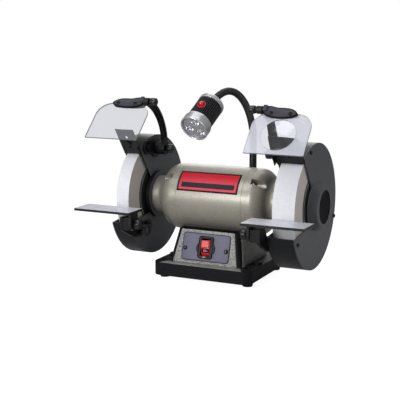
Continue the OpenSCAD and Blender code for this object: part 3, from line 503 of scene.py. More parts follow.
# Hammered paint: black fleck and white fleck on grey, drawn a little coarse so that it shows
FLECKED = Finish(
    "flecked_paint_grey", "#a9a8a5", 0.5, grain_mm=0.9, relief_mm=0.08, speck="#3a3a3d", speck_mm=1.2,
    speck_share=0.46)
# Metallic paint on steel and cast aluminium: warm silver with fine flake under a thin clear coat,
# the flake drawn coarser than it is so that it shows
CHAMPAGNE = Finish(
    "champagne_metallic_paint", "#908c81", 0.42, 0.4, grain_mm=0.9, relief_mm=0.012, edge_mm=1.0, coat=0.55,
    coat_roughness=0.24, speck="#a5a297", speck_mm=1.3, speck_share=0.42)
# Satin powder coat on pressed steel: a faint orange peel, black round the band and grey on the flat plates
GUARD = FacedFinish(
    "powder_coat_dark_grey", "#18191c", 0.34, ior=1.3, grain_mm=1.2, relief_mm=0.03, edge_mm=0.6,
    axis=(1.0, 0.0, 0.0), face_colour="#585a60", face_speck="#525459", face_speck_mm=1.2, face_roughness=0.46)
# The same powder coat on the deep-drawn side covers, a little glossier, with paler edges that are a painted
# highlight along their rims
COVER = Finish(
    "powder_coat_cover_grey", "#4c4d52", 0.42, 0.15, grain_mm=1.2, relief_mm=0.03, edge_mm=0.9,
    # the pale edge colour of the covers is a painted highlight along their rims
    worn="#8f9198")
# Near-black discs in the covers' hub recesses: painted shade for the dark that fills each recess
HUB_SHADE_BLACK = Finish("moulded_cap_black", "#040405", 0.35, ior=1.08, grain_mm=0.6, relief_mm=0.01, edge_mm=0.5)
# Satin paint on stamped steel: thin and even, with the steel showing through at the edges
SATIN_BLACK = Finish(
    "satin_black_paint", "#0f0f12", 0.42, ior=1.35, grain_mm=0.8, relief_mm=0.02, edge_mm=0.5, worn="#4b4b50")
# Moulded glass-filled nylon: a fine matt grain, black on the clamps' rims and slate on their sunk faces
CLAMP_RIM = Finish("moulded_nylon_rim", "#08080a", 0.5, ior=1.3, grain_mm=0.7, relief_mm=0.02, edge_mm=0.4)
CLAMP = Finish(
    "moulded_nylon_slate", "#3d3f47", 0.5, ior=1.35, grain_mm=0.7, relief_mm=0.03, edge_mm=0.9,
    worn="#5b5e68")
# The same nylon from a polished mould: soft highlights along the flutes of the knobs
KNOB = Finish("moulded_nylon_black", "#0e0e10", 0.32, grain_mm=0.7, relief_mm=0.03, edge_mm=0.7)
# Moulded grip: black in the grooves, and a lighter grey on the ridges' outer faces
RIDGE = Finish("moulded_grip_ridge", "#2e2e33", 0.4, grain_mm=0.7, relief_mm=0.01, edge_mm=0.15, cloud=0.02)
GRIP = Finish("moulded_grip_black", "#0b0b0d", 0.38, grain_mm=0.7, relief_mm=0.01, edge_mm=0.15, cloud=0.02)
# Extruded PVC sheath: smooth and slightly waxy over the hose's ribs
SHEATH = Finish("pvc_sheath_black", "#0e0e10", 0.42, grain_mm=0.6, relief_mm=0.01, edge_mm=0.4)
# Moulded ABS: an even satin black on the switch's body, and a glossy red paddle
SWITCH_BODY = Finish("moulded_abs_black", "#0b0b0d", 0.4, ior=1.3, grain_mm=0.5, relief_mm=0.02, edge_mm=0.5)
SWITCH_RED = Finish("moulded_abs_red", "#d8172b", 0.28, grain_mm=0.5, relief_mm=0.01, edge_mm=0.7)
# Moulded silicone rubber: bright red with a wet-looking dome
BUTTON_RED = Finish("silicone_red", "#d5142a", 0.2, grain_mm=0.5, relief_mm=0.01, edge_mm=0.3, coat=0.5)
# Pad-printed ink: flat white
MARK_WHITE = Finish("pad_print_white", "#d8d8dc", 0.5, grain_mm=0.4, relief_mm=0.01, edge_mm=0.1)
# Moulded rubber feet: dull black
RUBBER = Finish("moulded_rubber_black", "#131313", 0.75, grain_mm=0.5, relief_mm=0.04)
# Brushed and lacquered aluminium plate: grey with faint lines across it
PLATE = Finish(
    "brushed_plate_grey", "#6a6a7b", 0.52, 0.1, ior=1.35, grain_mm=0.25, relief_mm=0.01, stretch=(0.08, 1, 1),
    edge_mm=0.6, speck="#666679", speck_mm=0.5, speck_share=0.4, cloud=0.1)
# Printed aluminium label: a black border, a red field painted paler towards its lower edge as a painted
# highlight, and a dark band, without lettering
LABEL_BLACK = Finish(
    "label_print_black", "#060607", 0.55, ior=1.25, grain_mm=0.4, relief_mm=0.005, edge_mm=0.2)
LABEL_RED = FadedPrint(
    "label_print_red", "#c20c26", 0.42, ior=1.4, grain_mm=0.4, relief_mm=0.005, edge_mm=0.2, cloud=0.04,
    # The paler lower colour is a painted highlight, where the light's sheen runs under the label.
    lower="#d8405a", z_low_mm=163.0, z_high_mm=190.0)
LABEL_BAND = Finish(
    "label_print_band", "#1c1c22", 0.5, ior=1.3, grain_mm=0.4, relief_mm=0.005, edge_mm=0.2, speck="#2a2a31",
    speck_mm=0.8, speck_share=0.3)
# Bright zinc plating on turned steel
ZINC = Finish("zinc_plated_steel", "#a6a8ad", 0.3, 1.0, grain_mm=0.4, relief_mm=0.01, edge_mm=0.3)
# Rest plates: black oxide all round, and a ground top with its grinding lines along the plate
GROUND = FacedFinish(
    "ground_top_steel", "#1b1b1e", 0.42, 0.3, grain_mm=0.3, relief_mm=0.02, stretch=(0.04, 1, 1), edge_mm=0.4,
    face_colour="#eceff6", face_speck="#c4c7d0", face_speck_mm=0.8, face_metallic=0.35, face_roughness=0.38)
# Black nickel on domed screws: a dark mirror
SCREW_BLACK = Finish("black_nickel_steel", "#3a3a3e", 0.22, 0.9, grain_mm=0.5, relief_mm=0.005, edge_mm=0.3)
# Black oxide on screws and nuts: oily black, with bare edges
OXIDE = Finish(
    "black_oxide_steel", "#1c1c1f", 0.4, 0.6, grain_mm=0.5, relief_mm=0.01, edge_mm=0.3, worn="#55565a")
# Vitrified wheels: a white rim with open grit, and warm grey sides that are painted shade, the darkness the
# guard casts on them
ABRASIVE = FacedFinish(
    "vitrified_white_alumina", "#e6e7eb", 0.85, grain_mm=0.7, relief_mm=0.22, edge_mm=0.8, speck="#c9cad0",
    # the warm grey face colour of the sides is painted shade from the guard
    speck_mm=0.7, speck_share=0.3, cloud=0.04, axis=(1.0, 0.0, 0.0), face_colour="#cdc5c1",
    face_speck="#b5adaa", face_speck_mm=0.9, face_roughness=0.9)
# Blotting paper, printed black, with pale strokes round its edge
PAPER = DialFinish("printed_blotter_black", "#141416", 0.8, grain_mm=0.5, relief_mm=0.02)
# Enamelled copper wire: warm brown, in bundles
COPPER = Finish("enamelled_copper", "#a5552a", 0.35, 0.9, grain_mm=0.8, relief_mm=0.2, stretch=(0.1, 1, 1))
# Stacked sheets of electrical steel: grey, with the sheets' edges as lines
LAMINATION = Finish(
    "electrical_steel", "#5b5f66", 0.45, 0.9, grain_mm=0.5, relief_mm=0.05, stretch=(1, 0.05, 0.05))
# Turned aluminium, bright
POLISHED = Finish(
    "turned_aluminium", "#dcdee2", 0.27, 1.0, grain_mm=0.5, relief_mm=0.01, edge_mm=0.4, cloud=0.03)
# Anodised aluminium, satin silver
SILVER = Finish(
    "satin_anodised_silver", "#cfd0d5", 0.3, 0.75, grain_mm=0.3, relief_mm=0.005, edge_mm=0.2, cloud=0.03)
# Reflector of moulded plastic, metallised in a vacuum: a soft grey mirror
REFLECTOR = Finish(
    "vacuum_metallised_reflector", "#a6a7ac", 0.35, 0.35, grain_mm=0.4, relief_mm=0.005, edge_mm=0.3)
# Clear epoxy domes of the light emitters, unlit: pale and glassy
EMITTER = Finish("clear_led_dome", "#b4b7bf", 0.08, grain_mm=0.4, relief_mm=0.0, edge_mm=0.2, coat=1.0)
# Polycarbonate sheet: one clean, and one with much more pale haze mixed in round its magnifier
SHIELD_LEFT = ClearSheet(
    "polycarbonate_clear", "#c0c2c8", 0.15, edge_mm=0.3, relief_mm=0.0, haze=0.15, tint="#f1f2f4", cloud=0.02)
SHIELD_RIGHT = ClearSheet(
    "polycarbonate_hazed", "#d6d8e2", 0.2, edge_mm=0.3, relief_mm=0.0, haze=0.62, tint="#fafbfd", cloud=0.03,
    axis=leaning(SHEET_LEAN + RIGHT_ARM_TILT))
# Cast acrylic, optically clear
LENS = CastGlass(
    "optical_acrylic", "#e2e4ec", 0.02, grain_mm=0.5, relief_mm=0.0, edge_mm=0.2, ior=1.49, cloud=0.01)

# ---- Shaping ----

class Pick(Enum):
    """What a selection is made of."""

    CORNERS = "VERT"
    EDGES = "EDGE"
    FACES = "FACE"


class Join(Enum):
    """What a boolean does with the other blank."""

    CUT = "DIFFERENCE"
    ADD = "UNION"


class Start(Enum):
    """The primitives that blanks start from."""

    PLANE = "plane"
    CIRCLE = "circle"
    CUBE = "cube"


Test = Callable[[Vector, Vector], bool]
Points = Sequence[tuple[float, float]]
MIRROR = Matrix.Scale(-1.0, 4, Vector((1.0, 0.0, 0.0)))
FLIP = Matrix.Scale(-1.0, 4, Vector((0.0, 0.0, 1.0)))
HERE = Matrix.Identity(4)

# How close, in millimetres, two corners count as one
WELD = 0.002


def everything(_place: Vector, _normal: Vector) -> bool:
    """Pass all that is asked about."""
    return True


def aim(at: Vec, direction: Vec) -> Matrix:
    """Place a local frame at a point, with its Z along a direction.

    Args:
        at: The frame's origin.
        direction: Where its Z points; any length.

    Returns:
        The placing matrix, in millimetres.
    """
    way = Vector(direction).normalized()
    turn = Matrix.Rotation(math.atan2(way.y, way.x), 4, "Z") @ Matrix.Rotation(math.acos(way.z), 4, "Y")
    return Matrix.Translation(at) @ turn


class Blank:
    """A mesh in the making, in its own millimetres, shaped with edit-mode tools."""

    def __init__(self, name: str, start: Start | None = None, **size: Any) -> None:
        """Start from a primitive at its size and place.

        Args:
            name: The piece's name.
            start: The primitive; none takes the active object.
            size: What the primitive's operator takes.
        """
        if start:
            self.rest()
            getattr(bpy.ops.mesh, f"primitive_{start.value}_add")(**size)
            bpy.ops.object.transform_apply(location=True, rotation=True, scale=True)
        self.obj = bpy.context.object
        self.obj.name = name
        self.obj.data.name = name

    @staticmethod
    def rest() -> None:
        """Leave edit mode and deselect everything."""
        if bpy.context.object and bpy.context.object.mode != "OBJECT":
            bpy.ops.object.mode_set(mode="OBJECT")
        bpy.ops.object.select_all(action="DESELECT")

    def hold(self) -> None:
        """Make this the one selected object, in object mode."""
        self.rest()
        self.obj.select_set(True)
        bpy.context.view_layer.objects.active = self.obj

    def select(self, kind: Pick = Pick.FACES, test: Test = everything) -> "Blank":
        """Enter edit mode with what passes a test selected.

        Args:
            kind: Corners, edges or faces.
            test: Takes a corner's place and normal, an edge's middle and direction, or a face's
                middle and normal.

        Returns:
            The blank itself.
        """
        self.hold()
        mesh = self.obj.data
        for parts in (mesh.vertices, mesh.edges, mesh.polygons):
            parts.foreach_set("select", [False] * len(parts))
        if kind is Pick.CORNERS:
            for corner in mesh.vertices:
                corner.select = test(corner.co, corner.normal)
        elif kind is Pick.EDGES:
            for edge in mesh.edges:
                a, b = (mesh.vertices[i].co for i in edge.vertices)
                edge.select = test((a + b) / 2, (b - a).normalized())
        else:
            for face in mesh.polygons:
                face.select = test(face.center, face.normal)
        bpy.context.tool_settings.mesh_select_mode = tuple(kind is choice for choice in Pick)
        bpy.ops.object.mode_set(mode="EDIT")
        return self

    def extrude(self, by: Vec) -> "Blank":
        """Extrude the selection by a step."""
        bpy.ops.mesh.extrude_region_move(TRANSFORM_OT_translate={"value": by})
        return self

    def move(self, by: Vec) -> "Blank":
        """Move the selection by a step."""
        bpy.ops.transform.translate(value=by)
        return self

    def scale(self, factor: Vec, about: Vec = (0.0, 0.0, 0.0)) -> "Blank":
        """Resize the selection about a point."""
        bpy.ops.transform.resize(value=factor, center_override=about)
        return self

    def inset(self, width: float, depth: float = 0.0) -> "Blank":
        """Inset the selected faces, and sink or raise them."""
        bpy.ops.mesh.inset(thickness=width, depth=depth)
        return self

    def bevel(self, width: float, segments: int = 3) -> "Blank":
        """Round the selected edges."""
        bpy.ops.mesh.bevel(offset=width, segments=segments, affect="EDGES")
        return self

    def bisect(self, at: Vec, normal: Vec) -> "Blank":
        """Cut the whole mesh by a plane, and keep both sides.

        Args:
            at: A point of the plane.
            normal: The plane's normal.

        Returns:
            The blank itself.
        """
        self.select()
        bpy.ops.mesh.bisect(plane_co=at, plane_no=normal)
        return self

    def thicken(self, low: float, high: float) -> "Blank":
        """Make a flat face a solid from one height to another.

        Args:
            low: Its underside.
            high: Its upper side.

        Returns:
            The blank itself.
        """
        self.select(Pick.FACES).extrude((0, 0, high - low))
        self.select(Pick.CORNERS).move((0, 0, low))
        return self.weld()

    def weld(self) -> "Blank":
        """Merge doubles, close open ends and turn all faces outwards.

        Returns:
            The blank itself.
        """
        self.select(Pick.CORNERS)
        bpy.ops.mesh.remove_doubles(threshold=WELD)
        bpy.ops.mesh.select_all(action="SELECT")
        bpy.ops.mesh.fill_holes(sides=0)
        bpy.ops.mesh.select_all(action="SELECT")
        bpy.ops.mesh.normals_make_consistent(inside=False)
        return self

    def modify(self, kind: str, **settings: Any) -> "Blank":
        """Add a modifier, set it up and apply it.

        Args:
            kind: The modifier's type.
            settings: Its values by name.

        Returns:
            The blank itself.
        """
        self.hold()
        modifier = self.obj.modifiers.new(kind.lower(), kind)
        for key, value in settings.items():
            setattr(modifier, key, value)
        bpy.ops.object.modifier_apply(modifier=modifier.name)
        return self

    def join_shape(self, other: "Blank", how: Join = Join.CUT) -> "Blank":
        """Cut away or add another blank, which is used up.

        Args:
            other: The other blank.
            how: Which of the two.

        Returns:
            The blank itself.
        """
        self.modify("BOOLEAN", operation=how.value, object=other.obj, solver="EXACT")
        other.discard()
        return self

    def copy(self, name: str) -> "Blank":
        """Make a copy with a mesh of its own.

        Args:
            name: The copy's name.

        Returns:
            The copy.
        """
        self.hold()
        bpy.ops.object.duplicate(linked=False)
        return Blank(name)

    def turn(self, matrix: Matrix) -> "Blank":
        """Place the blank within its own frame.

        Args:
            matrix: The place, in millimetres.

        Returns:
            The blank itself.
        """
        self.hold()
        self.obj.matrix_world = matrix
        bpy.ops.object.transform_apply(location=True, rotation=True, scale=True)
        return self

    def discard(self) -> None:
        """Remove the blank."""
        self.hold()
        bpy.ops.object.delete()

    def coat(self, *finishes: Finish) -> "Blank":
        """Give the blank its finishes, the first one everywhere.

        Args:
            finishes: One for each material slot.

        Returns:
            The blank itself.
        """
        self.hold()
        self.obj.data.materials.clear()
        for finish in finishes:
            self.obj.data.materials.append(finish.build())
        return self

    def coat_faces(self, index: int, test: Test) -> "Blank":
        """Give the faces that pass a test another of the finishes.

        Args:
            index: The finish's number.
            test: Takes a face's middle and normal.

        Returns:
            The blank itself.
        """
        self.select(Pick.FACES, test)
        self.obj.active_material_index = index
        bpy.ops.object.material_slot_assign()
        return self

    def settle(self, place: Matrix, body: str, slot: str, angle: float = 35.0) -> bpy.types.Object:
        """Put the piece in its place for good, and let it ride.

        Args:
            place: From the blank's frame to the machine's, in millimetres.
            body: The body that it rides on; none leaves that to the caller.
            slot: The record's material slot; not used.
            angle: The sharpest edge that is shaded smooth, in degrees.

        Returns:
            The finished piece.
        """
        self.hold()
        self.obj.matrix_world = Matrix.Scale(MM, 4) @ place
        bpy.ops.object.transform_apply(location=True, rotation=True, scale=True)
        self.select(Pick.FACES)
        bpy.ops.mesh.normals_make_consistent(inside=False)
        self.hold()
        bpy.ops.object.shade_smooth_by_angle(angle=math.radians(angle))
        if body:
            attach(self.obj, body)
        LOG.info("made %s", self.obj.name)
        return self.obj


def block(name: str, size: Vec, at: Vec = (0.0, 0.0, 0.0)) -> Blank:
    """Start from a block of a size, centred on a point."""
    return Blank(name, Start.CUBE, size=1.0, location=at, scale=size)


def lathe(name: str, rings: Points, count: int = 48, hollow: bool = False) -> Blank:
    """Turn a profile: a circle is extruded and resized from ring to ring along Z.

    Args:
        name: The piece's name.
        rings: Radius and height of each ring.
        count: Corners round each ring.
        hollow: Whether the rings close on themselves or stay open, with no end faces.

    Returns:
        The turned blank.
    """
    radius, height = rings[0]
    fill = "NOTHING" if hollow else "NGON"
    blank = Blank(name, Start.CIRCLE, vertices=count, radius=radius, fill_type=fill, location=(0, 0, height))
    blank.select(Pick.EDGES if hollow else Pick.FACES)
    for next_radius, next_height in rings[1:]:
        blank.extrude((0, 0, next_height - height))
        share = next_radius / radius
        blank.scale((share, share, 1.0))
        radius, height = next_radius, next_height
    return blank


def outline(name: str, points: Points) -> Blank:
    """Draw a flat face: one corner is extruded from point to point, closed and filled.

    Args:
        name: The piece's name.
        points: The outline's corners in order.

    Returns:
        The flat blank at Z = 0.
    """
    blank = Blank(name, Start.PLANE, size=2.0)
    blank.select(Pick.CORNERS, lambda p, _n: p.x > 0 or p.y > 0)
    bpy.ops.mesh.delete(type="VERT")
    here = Vector((points[0][0], points[0][1], 0))
    blank.select(Pick.CORNERS).move(tuple(here + Vector((1, 1, 0))))
    for x, y in (*points[1:], points[0]):
        there = Vector((x, y, 0))
        blank.extrude(tuple(there - here))
        here = there
    blank.select(Pick.CORNERS)
    bpy.ops.mesh.remove_doubles(threshold=0.01)
    bpy.ops.mesh.select_all(action="SELECT")
    bpy.ops.mesh.edge_face_add()
    return blank


def from_node(name: str, node_name: str) -> Blank:
    """Take a copy of a construction node as a blank, in millimetres and with its corners merged.

    Args:
        name: The piece's name.
        node_name: The node.

    Returns:
        The blank, in the machine's frame.
    """
    Blank.rest()
    node = frame["nodes"][node_name]
    node.select_set(True)
    bpy.context.view_layer.objects.active = node
    bpy.ops.object.duplicate(linked=False)
    blank = Blank(name)
    bpy.ops.object.parent_clear(type="CLEAR_KEEP_TRANSFORM")
    blank.turn(Matrix.Scale(1 / MM, 4))
    blank.select(Pick.CORNERS)
    bpy.ops.mesh.remove_doubles(threshold=0.001)
    return blank


def stroke(name: str, text: str, height: float, depth: float) -> Blank:
    """Make a raised mark, such as ON.

    Args:
        name: The piece's name.
        text: The mark.
        height: The letters' size.
        depth: How thick they stand.

    Returns:
        The mark as a blank, centred.
    """
    Blank.rest()
    bpy.ops.object.text_add()
    mark = bpy.context.object
    mark.data.body = text
    mark.data.size = height
    mark.data.extrude = depth / 2
    mark.data.align_x = "CENTER"
    mark.data.align_y = "CENTER"
    bpy.ops.object.convert(target="MESH")
    blank = Blank(name)
    blank.select(Pick.CORNERS)
    bpy.ops.mesh.remove_doubles(threshold=0.001)
    return blank


def along_x(x: float, y: float, z: float) -> Matrix:
    """Place a turned blank with its Z along +X."""
    return aim((x, y, z), (1.0, 0.0, 0.0))


# ---- Shared places ----


# The shield arm in the YZ plane: its pivot, and the eye at the end of its bow, which holds the clamp's rod
ARM_PIVOT = (-11.0, ARBOR_H + 90.5)
ARM_BOW = 92.0
ARM_BOW_LIFT = 4.0
ARM_BOW_TURN = math.radians(76.0)
ARM_EYE = (
    ARM_PIVOT[0] - ARM_BOW + ARM_BOW * math.cos(ARM_BOW_TURN),
    ARM_PIVOT[1] + ARM_BOW_LIFT + ARM_BOW * math.sin(ARM_BOW_TURN),
)

# The lamp's back end and the way it looks, where the gooseneck ends
LAMP_BACK = (-20.0, 1.6, ARBOR_H + 178.5)
LAMP_WAY = (-0.122, -0.803, -0.583)


# From the arm's eye to the middle of the sheet's thickness, down the sheet and square to it
SHEET_OFFSET = (6.0, 5.0)


@dataclass(frozen=True)
class SidePlan:
    """Where the listed parts of one side stand, drawn for the right side and mirrored for the left."""

    side: Side
    arm_tilt: float
    cover_x: float
    rest_axis_y: float

    def place(self, matrix: Matrix) -> Matrix:
        """Mirror a place of the right side where this is the left one."""
        return MIRROR @ matrix if self.side is Side.LEFT else matrix

    def arm(self, matrix: Matrix) -> Matrix:
        """Turn a place with the shield arm about its pivot.

        Args:
            matrix: The place with the arm untilted.

        Returns:
            The place on this side.
        """
        pivot = Matrix.Translation((0.0, *ARM_PIVOT))
        tilt = Matrix.Rotation(math.radians(self.arm_tilt), 4, "X")
        return self.place(pivot @ tilt @ pivot.inverted() @ matrix)

    def slope(self, matrix: Matrix) -> Matrix:
        """Stand something in the leaning frame of the shield: Y down the sheet, Z out of its back.

        Args:
            matrix: The place in that frame.

        Returns:
            The place on this side.
        """
        lean = Matrix.Translation((0.0, *ARM_EYE)) @ Matrix.Rotation(math.radians(180.0 + SHEET_LEAN), 4, "X")
        return self.arm(lean @ Matrix.Translation((0.0, *SHEET_OFFSET)) @ matrix)


PLANS = (SidePlan(Side.LEFT, 0.0, 170.5, -134.1), SidePlan(Side.RIGHT, RIGHT_ARM_TILT, 186.4, -129.1))


# ---- Gooseneck ----


@dataclass
class Gooseneck:
    """Bendable metal hose in a finely ribbed black sheath, from its foot on the base to the lamp.

    The course runs straight up from the foot to the top, and then along one curve whose two handles are
    as long as the rise and the reach. The hinges stand at shares of that curve, and the sheath is cut
    into stretches midway between them.
    """

    crest: float = 7.05
    valley: float = 6.82
    pitch: float = 2.1
    sides: int = 40
    foot: Vec = (33.4, 74.0, 25.0)
    top: Vec = (33.4, 74.0, ARBOR_H + 103.0)
    rise: float = 67.0
    reach: float = 91.0
    covered: float = 25.0
    hinges: tuple[float, ...] = (0.0, 0.33, 0.53, 0.69, 0.83)
    bodies: tuple[str, ...] = ("frame", "neck_1", "neck_2", "neck_3", "neck_4", "lamp")
    first_start: float = 18.0
    bend_half: float = 8.5
    first_bend: float = 1.6
    chords: int = 200

    def _corners(self) -> tuple[Vector, Vector, Vector, Vector]:
        """Give the four control points of the curved part."""
        top, end = Vector(self.top), Vector(LAMP_BACK)
        return top, top + Vector((0, 0, self.rise)), end - self.reach * Vector(LAMP_WAY).normalized(), end

    def _at(self, t: float) -> Vector:
        """Give the point of the curved part at a share of its course."""
        a, b, c, d = self._corners()
        return (1 - t) ** 3 * a + 3 * (1 - t) ** 2 * t * b + 3 * (1 - t) * t**2 * c + t**3 * d

    def _length(self, t: float) -> float:
        """Measure the curved part from its start to a share of its course."""
        points = [self._at(t * i / self.chords) for i in range(self.chords + 1)]
        return sum((q - p).length for p, q in zip(points, points[1:]))

    def _course(self) -> bpy.types.Object:
        """Draw the whole course, straight and then curved, as one curve.

        Returns:
            The curve, which the ribbed stretches are bent along.
        """
        a, b, c, d = self._corners()
        data = bpy.data.curves.new("neck_course", "CURVE")
        data.dimensions = "3D"
        data.resolution_u = 64
        spline = data.splines.new("BEZIER")
        spline.bezier_points.add(2)
        foot = Vector(self.foot)
        third = (a - foot) / 3
        marks = ((foot - third, foot, foot + third), (a - third, a, b), (c, d, d + (d - c) / 3))
        for point, (left, here, right) in zip(spline.bezier_points, marks):
            point.handle_left_type = point.handle_right_type = "FREE"
            point.handle_left, point.co, point.handle_right = left, here, right
        course = bpy.data.objects.new("neck_course", data)
        bpy.context.scene.collection.objects.link(course)
        return course

    def _sleeve(self, name: str, course: bpy.types.Object, start: float, stop: float) -> Blank:
        """Make a ribbed stretch of the sheath and bend it along the course.

        Args:
            name: The piece's name.
            course: The curve to follow.
            start: Where the stretch begins along the course.
            stop: Where it ends.

        Returns:
            The bent stretch, closed at both ends.
        """
        ribs = max(2, round((stop - start) / self.pitch))
        step = (stop - start) / ribs
        rings = [(self.valley, 0.0), (self.crest, step * 0.3), (self.crest, step * 0.7), (self.valley, step)]
        blank = lathe(name, rings, self.sides, hollow=True)
        blank.modify(
            "ARRAY", count=ribs, use_relative_offset=False, use_constant_offset=True,
            constant_offset_displace=(0, 0, step), use_merge_vertices=True, merge_threshold=0.01)
        blank.select(Pick.CORNERS).move((0, 0, start))
        blank.modify("CURVE", object=course, deform_axis="POS_Z")
        return blank.weld()

    def build(self) -> None:
        """Make the foot and the five stretches, one round each hinge."""
        course = self._course()
        straight = self.top[2] - self.foot[2]
        ends = [straight + self._length(t) for t in (*self.hinges, 1.0)]
        cuts = [straight - self.first_start] + [(a + b) / 2 for a, b in zip(ends, ends[1:])]
        cuts[-1] = ends[-1]
        self._foot(self._sleeve("neck_post_sheath", course, self.covered, cuts[0]))
        for i, t in enumerate(self.hinges):
            name = f"neck_sheath_{i + 1}"
            sleeve = self._sleeve(name, course, cuts[i], cuts[i + 1]).coat(SHEATH)
            piece = sleeve.settle(HERE, "", "satin_black", 50.0)
            hinge = self._at(t)
            way = (self._at(t + 0.01) - self._at(t)).normalized()
            half = self.bend_half if i else self.first_bend * self.bend_half
            start, end = (hinge - half * way) * MM, (hinge + half * way) * MM
            tuple(start)
            tuple(end)
            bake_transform(piece)
            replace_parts(piece, f"neck_link_{i + 1}")
        bpy.data.objects.remove(course)

    def _foot(self, post: Blank) -> None:
        """Turn the foot's collar and its hexagon, and settle them with the straight sheath.

        Args:
            post: The straight sheath.
        """
        at = Matrix.Translation((self.foot[0], self.foot[1], 0.0))
        nut = lathe("neck_foot_nut", [(10.6, 32.0), (11.3, 32.4), (11.3, 49.2), (10.4, 50.0)], 6)
        nut.select(Pick.EDGES, lambda _p, way: abs(way.z) > 0.9).bevel(0.8, 2)
        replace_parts(nut.coat(OXIDE).settle(at, "frame", "satin_black", 30.0), "lamp_post")
        collar = lathe("neck_foot_collar", [(9.8, 49.9), (9.8, 55.0), (9.3, 55.8), (8.2, 56.0)], 48)
        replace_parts(collar.coat(OXIDE).settle(at, "frame", "satin_black"), "lamp_post")
        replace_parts(post.coat(SHEATH).settle(HERE, "frame", "satin_black", 50.0), "lamp_post")


# ---- Work lamp ----


